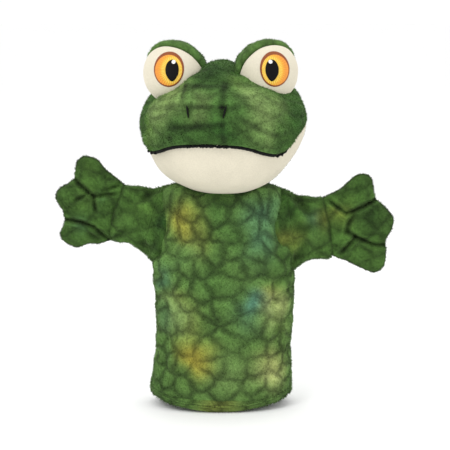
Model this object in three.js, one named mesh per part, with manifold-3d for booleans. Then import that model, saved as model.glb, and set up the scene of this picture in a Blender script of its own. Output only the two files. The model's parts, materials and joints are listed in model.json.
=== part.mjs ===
// A glove hand puppet: a plush frog with a stuffed head, two sleeves, and flat three-fingered hands.
// Millimetres, +Z up. The frog faces -Y and stands on its hem. The origin is under the middle of its box.
// "left" and "right" are the sides seen from the front: left is -X.
import * as THREE from "three";
import { mergeVertices } from "three/addons/utils/BufferGeometryUtils.js";
import Module from "manifold-3d";

// ---- Driving dimensions -------------------------------------------------------------------------

// Cloth
const plush = 2.2; // plush cloth with its pile
const lining = 0.8; // woven lining
const thread = 0.8; // height of embroidery above the cloth
const gap = 0.3; // between pieces that are sewn or pressed together

// Body: an oval tube, open at the hem and at the neck
const bodyHeight = 156; // floor to neck seam
const hemHeight = 8;
const hemProud = 0.9; // the rolled hem stands out of the panels by this much
const hemThick = 4.4;
const hemHalfWidth = 51;
const waistHalfWidth = 48.5;
const chestHalfWidth = 50;
const armholeHalfWidth = 42.5;
const armholeLean = 3; // the body narrows by this much each way from the armhole's middle
const shoulderHalfWidth = 37;
const hemHalfDepth = 33.5;
const chestHalfDepth = 31;
const shoulderHalfDepth = 24;
const shoulderDrop = 6; // neck seam down to the shoulder's edge
const underarmDrop = 54; // neck seam down to the widest place under the arms
const neckRadius = 18.5;
const bodyCentreY = 15.2;

// Head: four quarter ellipsoids that share one centre
const headHalfWidth = 60.5;
const headFront = 54;
const headBack = 47;
const headTop = 45;
const headChin = 52;
const chinClear = 4; // underside of the head above the neck seam
const headForward = 10; // head's centre in front of the neck's axis
const headTurn = -14; // degrees about Z: it looks a little to its right
const backSeam = 14; // seam of the back panel, behind the head's centre
const mouthBelow = 15; // middle of the mouth under the head's centre
const mouthDroop = 8; // the mouth's middle above its lowest places
const mouthHalfWidth = 51;
const cheekRise = 24; // the cheek seam climbs this far from the mouth's corner
const mouthThread = 0.9; // radius of the mouth's embroidered cord
const nostrilSpread = 13.5; // middle to nostril
const nostrilRise = 8; // above the head's centre
const nostrilLength = 8.4;
const nostrilWidth = 1.5;
const nostrilLean = 8; // degrees: the tops lean apart

// Finger tube in the head, and the neck's cloth rings
const tubeBore = 10; // radius
const tubeDepth = 62;
const neckOpening = 19.5; // radius of the hole in the underside of the head
const neckRingHeight = 8;
const neckRingClear = 1.6; // between the two rings, so that the inner one can tilt
const liningDrop = 5; // inner ring's foot below the bending point
const liningRise = 1; // its top above the bending point
const tubeRise = 12; // finger tube's foot above the bending point, so that the head can nod
const neckRoom = 16; // hollow in the head's stuffing above the bending point
const pivotRise = 4; // neck's bending point above the neck seam

// Eyes: stuffed balls sewn onto the head
const eyeRadius = 22.5;
const eyeAzimuth = 73; // degrees from straight ahead, seen from the head's centre
const eyeElevation = 55;
const eyeTurn = 11; // degrees: the eyes look straighter ahead than the snout does
const eyeSeamAngle = 77; // the cream face covers this much round its axis
const faceOutward = 20; // axis of the cream face
const faceDown = 17;
const gazeOutward = 10; // axis of the embroidered iris
const gazeUp = 3;
const irisHalfWidth = 11.2;
const irisHalfHeight = 12.9;
const irisRim = 1.3;
const irisLid = 1.1; // the rim is this much thicker at the top
const pupilHalfWidth = 4.4;
const pupilHalfHeight = 7.6;
const pupilInward = 2.7;
const pupilDown = 1.2;
const glintRadius = 1.7;
const glintInward = 1.3;
const glintUp = 6.4;

// Arms: an arm points outward from its shoulder along its own +X, with its own +Z up
const shoulderOut = 3.5; // shoulder's bending point outside the armhole's cloth
const shoulderBelowNeck = 26.7;
const shoulderLean = 2.9; // left shoulder up and right shoulder down by this much
const armRaise = 12.2; // degrees above level
const armLean = 3.8; // degrees more on the left and less on the right
const armholeHalfHeight = 20;
const armholeHalfDepth = 16;
const bindingClearHeight = 3.5; // armhole's edge to the binding tape inside it, above and below
const bindingClearDepth = 4.5; // and in front and behind
const bindingWidth = 3;
const sleeveStart = 3.5;
const sleeveEnd = 31;
const sleeveFlatter = 2.5; // the sleeve's mouth is this much taller and this much thinner than the armhole
const taperHeight = 2; // the wrist's half height is this much less than the sleeve's mouth
const taperDepth = 2.5; // and its half depth
const armpitCut = 12; // the sleeve's lower corner is cut back this much, so that the arm can drop

// Hands: a flat three-fingered pad
const wristGap = 2.6;
const palmNarrower = 1; // the palm's half height is this much less than the wrist's
const handThick = 17;
const handBevel = 5;
const fingers = [
  { along: 23, across: -23, radius: 12.5 },
  { along: 30.5, across: -0.5, radius: 15.2 },
  { along: 24, across: 22, radius: 12.5 },
];

// Care label, sewn into a side seam
const labelWidth = 14;
const labelLength = 22;
const labelClear = 2.6; // room for the lining's curve behind the label

// ---- Places worked out from the dimensions ------------------------------------------------------

const radians = THREE.MathUtils.degToRad;
const far = 400; // longer than any piece, for cutting
const facetSlack = 0.1; // the flat facets of the head stand inside its round surface by less than this
const roundSides = 18; // facets round a small oval
const bodySides = 22;
const bodyRows = 9;
const headCentre = new THREE.Vector3(
  0,
  bodyCentreY - headForward,
  bodyHeight + chinClear + headChin,
);
const neckAxis = new THREE.Vector3(0, headForward, 0)
  .applyAxisAngle(new THREE.Vector3(0, 0, 1), -radians(headTurn)); // in the head's own frame
const neckPivotZ = bodyHeight + pivotRise;
const bindingHalfHeight = armholeHalfHeight - bindingClearHeight;
const bindingHalfDepth = armholeHalfDepth - bindingClearDepth;
const sleeveTopHalfHeight = armholeHalfHeight + sleeveFlatter;
const sleeveTopHalfDepth = armholeHalfDepth - sleeveFlatter;
const wristHalfHeight = sleeveTopHalfHeight - taperHeight;
const wristHalfDepth = sleeveTopHalfDepth - taperDepth;
const palmHalfHeight = wristHalfHeight - palmNarrower;

// ---- Materials ----------------------------------------------------------------------------------

const cloth = (color, roughness = 0.95) => new THREE.MeshStandardMaterial({ color, roughness, metalness: 0 });
const greenPlush = cloth(0x47732f);
const scalePlush = cloth(0x55803c);
const creamPlush = cloth(0xe6dfc8, 0.9);
const liningCloth = cloth(0x3f5a34, 0.85);
const fibreFill = cloth(0xf2f0ea, 1);
const tubeCloth = cloth(0xd9d4c4, 0.9);
const blackThread = cloth(0x141414, 0.6);
const brownThread = cloth(0xa5562a, 0.6);
const amberThread = cloth(0xf2a93b, 0.55);
const whiteThread = cloth(0xf6f6f2, 0.5);
const labelRibbon = cloth(0xf4f3ee, 0.5);

// ---- Solids -------------------------------------------------------------------------------------

const wasm = await Module();
wasm.setup();

// A closed geometry as a solid that can be cut and joined.
function solid(geometry) {
  const bare = geometry.clone();
  bare.deleteAttribute("normal");
  bare.deleteAttribute("uv");
  const merged = mergeVertices(bare, 1e-4);
  return new wasm.Manifold(
    new wasm.Mesh({
      numProp: 3,
      vertProperties: merged.attributes.position.array,
      triVerts: new Uint32Array(merged.index.array),
    }),
  );
}

// A solid as a named mesh.
function piece(name, made, material) {
  const cut = made.getMesh();
  const geometry = new THREE.BufferGeometry();
  geometry.setAttribute("position", new THREE.BufferAttribute(new Float32Array(cut.vertProperties), 3));
  geometry.setIndex(new THREE.BufferAttribute(new Uint32Array(cut.triVerts), 1));
  geometry.computeVertexNormals();
  const mesh = new THREE.Mesh(geometry, material);
  mesh.name = name;
  return mesh;
}

// Moves every vertex of a geometry to where place(point) puts it.
function shaped(geometry, place) {
  const position = geometry.attributes.position;
  const point = new THREE.Vector3();
  for (let i = 0; i < position.count; i++) {
    point.fromBufferAttribute(position, i);
    const moved = place(point);
    position.setXYZ(i, moved.x, moved.y, moved.z);
  }
  return geometry;
}

// A block between two corners, used for cutting.
function block(low, high) {
  const size = high.clone().sub(low);
  const middle = high.clone().add(low).multiplyScalar(0.5);
  return solid(new THREE.BoxGeometry(size.x, size.y, size.z).translate(middle.x, middle.y, middle.z));
}

// Everything in front of (side -1) or behind (side 1) the plane Y = y, less half a gap.
function halfSpaceY(y, side) {
  const edge = y + (side * gap) / 2;
  const low = new THREE.Vector3(-far, side < 0 ? -far : edge, -far);
  const high = new THREE.Vector3(far, side < 0 ? edge : far, far);
  return block(low, high);
}

// An oval prism along X, centred on the X axis.
function ovalAlongX(halfDepth, halfHeight, from, to) {
  return new THREE.CylinderGeometry(1, 1, to - from, roundSides)
    .rotateZ(-Math.PI / 2)
    .scale(1, halfDepth, halfHeight)
    .translate((from + to) / 2, 0, 0);
}

// An upright round bar.
function upright(radius, from, to) {
  return new THREE.CylinderGeometry(radius, radius, to - from, roundSides)
    .rotateX(Math.PI / 2)
    .translate(0, 0, (from + to) / 2);
}

// ---- Body ---------------------------------------------------------------------------------------

const underarm = bodyHeight - underarmDrop;
const shoulder = bodyHeight - shoulderDrop;
const besideArmhole = (share) => ({
  z: underarm + share * (shoulder - underarm),
  width: armholeHalfWidth + armholeLean * (1 - 2 * share),
  depth: chestHalfDepth - share ** 2 * (chestHalfDepth - shoulderHalfDepth),
});
const bodyStations = [
  { z: 0, width: hemHalfWidth, depth: hemHalfDepth },
  { z: underarm / 3, width: (hemHalfWidth + waistHalfWidth) / 2, depth: hemHalfDepth },
  { z: (2 * underarm) / 3, width: waistHalfWidth, depth: chestHalfDepth },
  { z: underarm, width: chestHalfWidth, depth: chestHalfDepth },
  besideArmhole(1 / 3),
  besideArmhole(2 / 3),
  { z: shoulder, width: shoulderHalfWidth, depth: shoulderHalfDepth },
  { z: bodyHeight, width: neckRadius, depth: neckRadius },
];
const widthCurve = new THREE.SplineCurve(bodyStations.map((s) => new THREE.Vector2(s.width, s.z)));
const depthCurve = new THREE.SplineCurve(bodyStations.map((s) => new THREE.Vector2(s.depth, s.z)));

// The body's outer shape, made smaller by inset, with both ends run out by over.
function bodySolid(inset, over = 0) {
  const column = new THREE.CylinderGeometry(1, 1, 1, bodySides, bodyRows).rotateX(Math.PI / 2);
  return solid(
    shaped(column, (p) => {
      const share = p.z + 0.5;
      const width = widthCurve.getPoint(share);
      const depth = depthCurve.getPoint(share);
      const end = p.z < -0.49 ? -over : p.z > 0.49 ? over : 0;
      return new THREE.Vector3(
        p.x * (width.x - inset),
        p.y * (depth.x - inset) + bodyCentreY,
        width.y + end,
      );
    }),
  );
}

// Where the left (-1) or right (1) arm bends at the shoulder.
const shoulderPoint = (side) =>
  new THREE.Vector3(
    side * (armholeHalfWidth + shoulderOut),
    bodyCentreY,
    bodyHeight - shoulderBelowNeck - side * shoulderLean,
  );

function armholes(extra) {
  const holes = [-1, 1].map((side) => {
    const at = shoulderPoint(side);
    const from = side < 0 ? -2 * shoulderHalfWidth : shoulderHalfWidth / 2;
    const to = side < 0 ? -shoulderHalfWidth / 2 : 2 * shoulderHalfWidth;
    const hole = ovalAlongX(armholeHalfDepth - extra, armholeHalfHeight - extra, from, to);
    return solid(hole.translate(0, at.y, at.z));
  });
  return holes[0].add(holes[1]);
}

function bodyPieces() {
  const aboveHem = block(
    new THREE.Vector3(-far, -far, hemHeight + gap),
    new THREE.Vector3(far, far, far),
  );
  const wall = bodySolid(0).subtract(bodySolid(plush, 1)).subtract(armholes(0)).intersect(aboveHem);
  const inner = plush + gap;
  const liningWall = bodySolid(inner).subtract(bodySolid(inner + lining, 1))
    .subtract(armholes(1))
    .intersect(aboveHem);
  return [
    piece("body_front_panel", wall.intersect(halfSpaceY(bodyCentreY, -1)), scalePlush),
    piece("body_back_panel", wall.intersect(halfSpaceY(bodyCentreY, 1)), scalePlush),
    piece("body_lining", liningWall, liningCloth),
    hemBand(),
    careLabel(),
  ];
}

// A rolled hem: an oval ring with a flat foot and a round outer face.
function hemBand() {
  const roll = (inset) =>
    solid(
      shaped(new THREE.CylinderGeometry(1, 1, 1, bodySides, 4).rotateX(Math.PI / 2), (p) => {
        const bulge = inset > 0 ? 0 : hemProud * (1 - 4 * p.z * p.z);
        return new THREE.Vector3(
          p.x * (hemHalfWidth - inset + bulge),
          p.y * (hemHalfDepth - inset + bulge) + bodyCentreY,
          (p.z + 0.5) * hemHeight,
        );
      }),
    );
  const hole = solid(
    new THREE.CylinderGeometry(1, 1, 3 * hemHeight, bodySides)
      .rotateX(Math.PI / 2)
      .scale(hemHalfWidth - hemThick, hemHalfDepth - hemThick, 1)
      .translate(0, bodyCentreY, 0),
  );
  return piece("hem_band", roll(0).subtract(hole), greenPlush);
}

// A blank ribbon, folded double and flat against the lining in the right side seam.
function careLabel() {
  const bottom = hemHeight + 2 * gap;
  const next = bodyStations[1];
  const width = THREE.MathUtils.lerp(hemHalfWidth, next.width, (bottom + labelLength) / next.z);
  const out = width - plush - lining - 2 * gap - labelClear;
  const ribbon = new THREE.BoxGeometry(lining, labelWidth, labelLength)
    .translate(out, bodyCentreY, bottom + labelLength / 2);
  return piece("care_label", solid(ribbon), labelRibbon);
}

// ---- Neck ---------------------------------------------------------------------------------------

// One ring of the neck: plush outside, gathered into the neck seam, or the lining inside it.
function neckRing(name, outer, wall, from, to, material) {
  const ring = solid(upright(outer, from, to)).subtract(solid(upright(outer - wall, from - 1, to + 1)));
  return piece(name, ring.translate([0, bodyCentreY, 0]), material);
}

const collarRadius = neckRadius - plush - 2 * gap;
const innerRingRadius = collarRadius - plush - neckRingClear;

// ---- Head ---------------------------------------------------------------------------------------

// The head's surface along a direction, made smaller by inset.
function headPoint(direction, inset = 0) {
  const depth = direction.y < 0 ? headFront : headBack;
  const height = direction.z > 0 ? headTop : headChin;
  return new THREE.Vector3(
    direction.x * (headHalfWidth - inset),
    direction.y * (depth - inset),
    direction.z * (height - inset),
  );
}

function headSolid(inset) {
  const ball = new THREE.SphereGeometry(1, 24, 14).rotateX(Math.PI / 2);
  return solid(shaped(ball, (p) => headPoint(p, inset)));
}

// The seam between snout and chin, seen from the front: an arch with corners that turn up into the cheeks.
const mouthZ = -mouthBelow;
const mouthCurve = new THREE.SplineCurve([
  new THREE.Vector2(0, mouthZ),
  new THREE.Vector2(mouthHalfWidth / 3, mouthZ - mouthDroop / 4),
  new THREE.Vector2((2 * mouthHalfWidth) / 3, mouthZ - 0.8 * mouthDroop),
  new THREE.Vector2(0.88 * mouthHalfWidth, mouthZ - mouthDroop),
  new THREE.Vector2(mouthHalfWidth, mouthZ - mouthDroop / 2),
  new THREE.Vector2((mouthHalfWidth + headHalfWidth) / 2, mouthZ + cheekRise / 3),
  new THREE.Vector2(headHalfWidth + 2, mouthZ - mouthDroop / 2 + cheekRise),
]);

// Everything under the mouth seam, moved up by lift.
function underMouth(lift) {
  const half = mouthCurve.getPoints(12);
  const outline = [...half.map((p) => new THREE.Vector2(-p.x, p.y)).reverse(), ...half.slice(1)];
  const shape = new THREE.Shape([
    new THREE.Vector2(-far, -far),
    new THREE.Vector2(far, -far),
    new THREE.Vector2(far, outline[outline.length - 1].y),
    ...outline.slice().reverse(),
    new THREE.Vector2(-far, outline[0].y),
  ]);
  const prism = new THREE.ExtrudeGeometry(shape, { depth: 2 * far, bevelEnabled: false, steps: 1 });
  // The shape's own Y is up, and it is swept from back to front.
  return solid(prism.rotateX(Math.PI / 2).translate(0, far, lift));
}

// A point on the front of the head at a place seen from the front.
function onFront(x, z, out) {
  const height = z > 0 ? headTop : headChin;
  const across = x / (headHalfWidth + out);
  const up = z / (height + out);
  const depth = (headFront + out) * Math.sqrt(Math.max(0, 1 - across * across - up * up));
  return new THREE.Vector3(x, -depth, z);
}

function mouthLine() {
  const clear = mouthThread + gap + facetSlack;
  const half = mouthCurve.getPoints(24).filter((p) => p.x <= mouthHalfWidth);
  const seam = [...half.map((p) => new THREE.Vector2(-p.x, p.y)).reverse(), ...half.slice(1)];
  const path = new THREE.CatmullRomCurve3(seam.map((p) => onFront(p.x, p.y, clear)));
  const section = new THREE.Shape();
  section.absarc(0, 0, mouthThread, 0, 2 * Math.PI);
  const cord = new THREE.ExtrudeGeometry(section, { steps: 20, extrudePath: path, curveSegments: 3 });
  return piece("mouth_line", solid(cord), blackThread);
}

function nostril(name, side) {
  const lean = radians(nostrilLean) * side;
  const stitch = new THREE.SphereGeometry(1, 8, 6)
    .scale(nostrilWidth / 2, thread / 2, nostrilLength / 2)
    .rotateY(lean);
  const at = onFront(side * nostrilSpread, nostrilRise, 0);
  const outward = new THREE.Vector3(
    at.x / headHalfWidth ** 2,
    at.y / headFront ** 2,
    at.z / headTop ** 2,
  ).normalize();
  const turn = new THREE.Quaternion().setFromUnitVectors(new THREE.Vector3(0, -1, 0), outward);
  const place = at.addScaledVector(outward, thread + gap);
  stitch.applyQuaternion(turn).translate(place.x, place.y, place.z);
  return piece(name, solid(stitch).subtract(headSolid(-gap)), blackThread);
}

function headPieces() {
  const neckHole = solid(upright(neckOpening, -far, neckPivotZ - headCentre.z + neckRoom))
    .translate([neckAxis.x, neckAxis.y, 0]);
  const skin = headSolid(0).subtract(headSolid(plush)).subtract(neckHole);
  const front = skin.intersect(halfSpaceY(backSeam, -1));
  const seatZ = neckPivotZ - headCentre.z; // neck's bending point in the head's frame
  const tubeTop = seatZ + tubeDepth;
  const bore = (radius, from, to) => solid(upright(radius, from, to)).translate([neckAxis.x, neckAxis.y, 0]);
  const tubeOuter = tubeBore + plush / 2;
  const tubeFoot = seatZ + tubeRise;
  const tube = bore(tubeOuter, tubeFoot, tubeTop).subtract(bore(tubeBore, tubeFoot - 1, tubeTop - lining));
  const stuffing = headSolid(plush + gap)
    .subtract(neckHole)
    .subtract(bore(tubeOuter + gap, -far, tubeTop + gap));
  return [
    piece("snout_panel", front.subtract(underMouth(gap / 2)), greenPlush),
    piece("chin_panel", front.intersect(underMouth(-gap / 2)), creamPlush),
    piece("head_back_panel", skin.intersect(halfSpaceY(backSeam, 1)), greenPlush),
    piece("head_stuffing", stuffing, fibreFill),
    piece("finger_tube", tube, tubeCloth),
    mouthLine(),
    nostril("left_nostril", -1),
    nostril("right_nostril", 1),
    ...eyePieces("left", -1),
    ...eyePieces("right", 1),
  ];
}

// ---- Eyes ---------------------------------------------------------------------------------------

function eyeBall(radius) {
  return new THREE.SphereGeometry(radius, 18, 12);
}

// A prism with the given outline, from the eye's middle out along its gaze: -Y before the eye is placed.
function alongGaze(outline) {
  return new THREE.ExtrudeGeometry(outline, { depth: 2 * eyeRadius, bevelEnabled: false, curveSegments: 6 })
    .rotateX(Math.PI / 2);
}

function oval(x, z, halfWidth, halfHeight) {
  const outline = new THREE.Shape();
  outline.absellipse(x, z, halfWidth, halfHeight, 0, 2 * Math.PI);
  return outline;
}

// The pupil: round at the top, drawn to a point at the bottom.
function pupilOutline(x, z, grow) {
  const width = pupilHalfWidth + grow;
  const height = pupilHalfHeight + grow;
  const outline = new THREE.Shape();
  outline.moveTo(x, z - height);
  outline.quadraticCurveTo(x + width * 1.15, z - height * 0.35, x + width, z + height * 0.25);
  const top = z + height;
  outline.bezierCurveTo(x + width * 0.8, top, x - width * 0.8, top, x - width, z + height * 0.25);
  outline.quadraticCurveTo(x - width * 1.15, z - height * 0.35, x, z - height);
  return outline;
}

function eyePieces(name, side) {
  const azimuth = radians(side * eyeAzimuth + eyeTurn);
  const elevation = radians(eyeElevation);
  const direction = new THREE.Vector3(
    Math.sin(azimuth) * Math.cos(elevation),
    -Math.cos(azimuth) * Math.cos(elevation),
    Math.sin(elevation),
  );
  const centre = headPoint(direction);
  const place = (outward, up) =>
    new THREE.Matrix4()
      .makeTranslation(centre.x, centre.y, centre.z)
      .multiply(new THREE.Matrix4().makeRotationZ(radians(eyeTurn + side * outward)))
      .multiply(new THREE.Matrix4().makeRotationX(-radians(up)));
  const faceFrame = place(faceOutward, -faceDown);
  const gazeFrame = place(gazeOutward, gazeUp);
  const head = headSolid(-gap);
  const ball = (radius) => solid(eyeBall(radius).applyMatrix4(gazeFrame));
  const skin = ball(eyeRadius).subtract(ball(eyeRadius - plush)).subtract(head);
  const seamY = -eyeRadius * Math.cos(radians(eyeSeamAngle));
  const cut = (from, to) =>
    solid(
      new THREE.BoxGeometry(far, to - from, far).translate(0, (from + to) / 2, 0).applyMatrix4(faceFrame),
    );
  const embroidery = ball(eyeRadius + gap + thread).subtract(ball(eyeRadius + gap)).subtract(head);
  const prism = (outline) => solid(alongGaze(outline).applyMatrix4(gazeFrame));
  const stitched = (outline, ...holes) =>
    holes.reduce((made, hole) => made.subtract(prism(hole)), embroidery.intersect(prism(outline)));
  const rimOval = oval(0, 0, irisHalfWidth, irisHalfHeight);
  const irisOval = (inset) =>
    oval(0, -irisLid, irisHalfWidth - inset, irisHalfHeight - inset - irisLid);
  const pupilX = -side * pupilInward;
  const pupilZ = -pupilDown;
  const glintX = pupilX - side * glintInward;
  const glint = (grow) => oval(glintX, pupilZ + glintUp, glintRadius + grow, glintRadius + grow);
  const rim = stitched(rimOval, irisOval(irisRim));
  const iris = stitched(irisOval(irisRim + gap), pupilOutline(pupilX, pupilZ, gap), glint(gap));
  const pupil = stitched(pupilOutline(pupilX, pupilZ, 0), glint(gap));
  return [
    piece(name + "_eye_hood", skin.intersect(cut(seamY + gap / 2, far)), greenPlush),
    piece(name + "_eye_face", skin.intersect(cut(-far, seamY - gap / 2)), creamPlush),
    piece(name + "_eye_stuffing", ball(eyeRadius - plush - gap).subtract(head), fibreFill),
    piece(name + "_iris_rim", rim, brownThread),
    piece(name + "_iris", iris, amberThread),
    piece(name + "_pupil", pupil, blackThread),
    piece(name + "_eye_glint", stitched(glint(0)), whiteThread),
  ];
}

// ---- Arms ---------------------------------------------------------------------------------------

// The sleeve's outer shape, made smaller by inset: an oval tube that tapers to the wrist.
function sleeveSolid(inset, over) {
  const tube = new THREE.CylinderGeometry(1, 1, 1, roundSides, 2).rotateZ(-Math.PI / 2);
  return solid(
    shaped(tube, (p) => {
      const share = p.x + 0.5;
      const end = share < 0.01 ? -over : share > 0.99 ? over : 0;
      return new THREE.Vector3(
        sleeveStart + share * (sleeveEnd - sleeveStart) + end,
        p.y * (THREE.MathUtils.lerp(sleeveTopHalfDepth, wristHalfDepth, share) - inset),
        p.z * (THREE.MathUtils.lerp(sleeveTopHalfHeight, wristHalfHeight, share) - inset),
      );
    }),
  );
}

// What is cut off the sleeve's mouth: nothing at its middle, and more towards the armpit and the shoulder.
function mouthOfSleeve() {
  const half = sleeveTopHalfHeight + 1;
  const outline = new THREE.Shape([
    new THREE.Vector2(sleeveStart - 5, -half),
    new THREE.Vector2(sleeveStart + armpitCut, -half),
    new THREE.Vector2(sleeveStart, -half / 3),
    new THREE.Vector2(sleeveStart, half / 3),
    new THREE.Vector2(sleeveStart + armpitCut / 2, half),
    new THREE.Vector2(sleeveStart - 5, half),
  ]);
  const prism = new THREE.ExtrudeGeometry(outline, { depth: far, bevelEnabled: false });
  return solid(prism.rotateX(Math.PI / 2).translate(0, far / 2, 0));
}

// The hand's outline in its own frame, with the wrist at X = 0, and every edge moved in by inset.
function handOutline(inset) {
  const lobes = fingers.map((f) => ({ ...f, radius: f.radius - inset }));
  const half = palmHalfHeight - inset;
  const outline = new THREE.Shape();
  outline.moveTo(inset, half);
  outline.lineTo(inset, -half);
  lobes.forEach((lobe, i) => {
    const before = lobes[i - 1];
    const after = lobes[i + 1];
    const start = before ? crossing(lobe, before, 1) : -Math.PI / 2 - 0.35;
    const end = after ? crossing(lobe, after, -1) : Math.PI / 2 + 0.35;
    outline.absarc(lobe.along, lobe.across, lobe.radius, start, end);
  });
  outline.closePath();
  return outline;
}

// The angle, on one lobe, of the outer place where its circle meets its neighbour's.
function crossing(lobe, other, side) {
  const dx = other.along - lobe.along;
  const dy = other.across - lobe.across;
  const apart = Math.hypot(dx, dy);
  const cosine = (apart ** 2 + lobe.radius ** 2 - other.radius ** 2) / (2 * apart * lobe.radius);
  return Math.atan2(dy, dx) + side * Math.acos(THREE.MathUtils.clamp(cosine, -1, 1));
}

function handSolid(inset) {
  const bevel = handBevel - inset / 2;
  const flat = handThick - 2 * inset - 2 * bevel;
  const pad = new THREE.ExtrudeGeometry(handOutline(inset), {
    depth: flat,
    bevelSize: bevel,
    bevelOffset: -bevel,
    bevelThickness: bevel,
    bevelSegments: 2,
    curveSegments: 4,
  });
  return solid(pad.rotateX(Math.PI / 2).translate(sleeveEnd + wristGap, flat / 2, 0));
}

function handPieces(name, front) {
  const skin = handSolid(0).subtract(handSolid(plush));
  return [
    piece(name + "_hand_front", skin.intersect(halfSpaceY(0, front)), greenPlush),
    piece(name + "_hand_back", skin.intersect(halfSpaceY(0, -front)), greenPlush),
    piece(name + "_hand_stuffing", handSolid(plush + gap), fibreFill),
  ];
}

// front is the sign of the arm's own Y that ends up at the puppet's front: -1, or 1 where the arm is turned.
function armPieces(name, front) {
  const wall = sleeveSolid(0, 0).subtract(sleeveSolid(plush, 1)).subtract(mouthOfSleeve());
  const bindingHole = ovalAlongX(
    bindingHalfDepth - 2 * lining, bindingHalfHeight - 2 * lining, -bindingWidth, bindingWidth);
  const binding = solid(ovalAlongX(bindingHalfDepth, bindingHalfHeight, -bindingWidth / 2, bindingWidth / 2))
    .subtract(solid(bindingHole));
  const pocketMouth = sleeveStart + armpitCut / 2;
  const pocketEnd = sleeveEnd - 1;
  const pocketOval = (inset, from, to) =>
    solid(ovalAlongX(wristHalfDepth - inset, wristHalfHeight - inset, from, to));
  const pocket = pocketOval(plush + gap, pocketMouth, pocketEnd)
    .subtract(pocketOval(plush + gap + lining, pocketMouth - 1, pocketEnd - lining));
  return [
    piece(name + "_armhole_binding", binding, liningCloth),
    piece(name + "_sleeve_front", wall.intersect(halfSpaceY(0, front)), greenPlush),
    piece(name + "_sleeve_back", wall.intersect(halfSpaceY(0, -front)), greenPlush),
    piece(name + "_arm_lining", pocket, liningCloth),
    ...handPieces(name, front),
  ];
}

// ---- Assembly -----------------------------------------------------------------------------------

const puppet = new THREE.Group();
puppet.add(...bodyPieces());
puppet.add(neckRing("neck_collar", collarRadius, plush, bodyHeight - neckRingHeight / 2,
  bodyHeight + neckRingHeight / 2, greenPlush));
puppet.add(neckRing("neck_lining", innerRingRadius, lining, neckPivotZ - liningDrop,
  neckPivotZ + liningRise, liningCloth));

const head = new THREE.Group();
head.add(...headPieces());
head.position.copy(headCentre);
head.rotation.z = radians(headTurn);
puppet.add(head);

for (const [name, side] of [["left", -1], ["right", 1]]) {
  const arm = new THREE.Group();
  arm.add(...armPieces(name, -side));
  arm.position.copy(shoulderPoint(side));
  const raise = radians(armRaise - side * armLean);
  // An arm points along its own +X; the left one is turned half round Z first.
  arm.rotation.order = "YZX";
  arm.rotation.y = side < 0 ? raise : -raise;
  arm.rotation.z = side < 0 ? Math.PI : 0;
  puppet.add(arm);
}

const box = new THREE.Box3().setFromObject(puppet, true);
const middle = box.getCenter(new THREE.Vector3());
puppet.position.set(-middle.x, -middle.y, -box.min.z);

export default puppet;
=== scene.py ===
"""A plush frog glove puppet, standing on its hem.

Geometry is worked out in millimetres in the row frame and written to Blender in metres. Every piece is a
grid of points P[row, column]. Its rest position is kept in the attribute "rest", its colour (its own
colour with painted shade and painted highlights) in "dye_and_shade" and its place on the cloth in "print",
so the print stays on the cloth when a joint moves.
"""

import json
import math

import bpy
import numpy as np
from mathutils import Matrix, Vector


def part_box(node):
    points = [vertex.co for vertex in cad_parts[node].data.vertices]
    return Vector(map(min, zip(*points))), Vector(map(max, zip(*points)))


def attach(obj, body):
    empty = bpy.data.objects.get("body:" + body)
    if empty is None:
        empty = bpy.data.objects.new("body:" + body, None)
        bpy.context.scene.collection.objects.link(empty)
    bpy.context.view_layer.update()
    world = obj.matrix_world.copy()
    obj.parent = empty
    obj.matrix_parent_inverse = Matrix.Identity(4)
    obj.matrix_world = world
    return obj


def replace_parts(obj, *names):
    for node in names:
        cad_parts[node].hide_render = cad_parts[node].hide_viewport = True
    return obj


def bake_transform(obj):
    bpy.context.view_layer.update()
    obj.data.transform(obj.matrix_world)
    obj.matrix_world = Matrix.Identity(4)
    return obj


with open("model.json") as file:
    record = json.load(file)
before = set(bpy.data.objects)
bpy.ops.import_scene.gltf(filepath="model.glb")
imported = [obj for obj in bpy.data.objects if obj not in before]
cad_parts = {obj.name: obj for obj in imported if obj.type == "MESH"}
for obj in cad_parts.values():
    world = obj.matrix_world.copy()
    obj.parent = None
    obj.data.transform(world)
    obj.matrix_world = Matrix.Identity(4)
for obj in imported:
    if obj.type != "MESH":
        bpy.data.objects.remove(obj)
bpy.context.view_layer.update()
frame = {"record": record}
JOINTS = {j["name"]: j for j in frame["record"]["behaviour"]["joints"]}


# ---- Numbers -------------------------------------------------------------------------------------

SIDES = {"left": -1, "right": 1}  # as seen from the front
HEAD_TURN = -14  # degrees about Z
HEAD_HALF = np.array([60.5, 54.0, 41.5])  # half width, front depth, height above the centre
HEAD_BACK = 47.0
HEAD_CHIN = 52.0
HEAD_MEAN = np.array([60.5, 50, 48])
EYE_RADIUS = 22.5
# The cream face of each eye: azimuth and elevation of its middle, and how far round the ball it reaches.
FACE = {"left": (-28, -36, 98), "right": (28, -24, 88)}
EYE_SETTLE = {"left": (0.2, 0, -3.7), "right": (0, 0, -3.0)}  # the stuffed eyes sit this much into the head
GAZE = {"left": (3, 6), "right": (8, 4.5)}  # degrees that the settled eyes turn out and up
PLUSH = 1.8  # thickness of plush cloth without its pile
PILE = 1.5  # length of the pile
PILE_DENSITY = 1.1  # hairs to a square millimetre
SPIKE = 0.26  # radius of a hair's foot
LINING = 0.6
HEAD_BELOW_TOP = 42.5  # from the top of the stuffing down to the head's centre
HEAD_FORWARD = 10  # the head's centre is this much in front of the neck


def joint_point(name):
    return np.array(JOINTS[name]["pos_m"]) * 1000


def cad_box(node):
    low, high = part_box(node)
    return np.array(low) * 1000, np.array(high) * 1000


hem_low, hem_high = cad_box("hem_band")
TORSO = (hem_low + hem_high) / 2
NECK = joint_point("head_turn")
head_high = cad_box("head_stuffing")[1]
HEAD = np.array([NECK[0], NECK[1] - HEAD_FORWARD, head_high[2] - HEAD_BELOW_TOP])


# ---- Arithmetic on points ------------------------------------------------------------------------


def ease(t):
    t = np.clip(t, 0, 1)
    return t * t * (3 - 2 * t)


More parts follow.
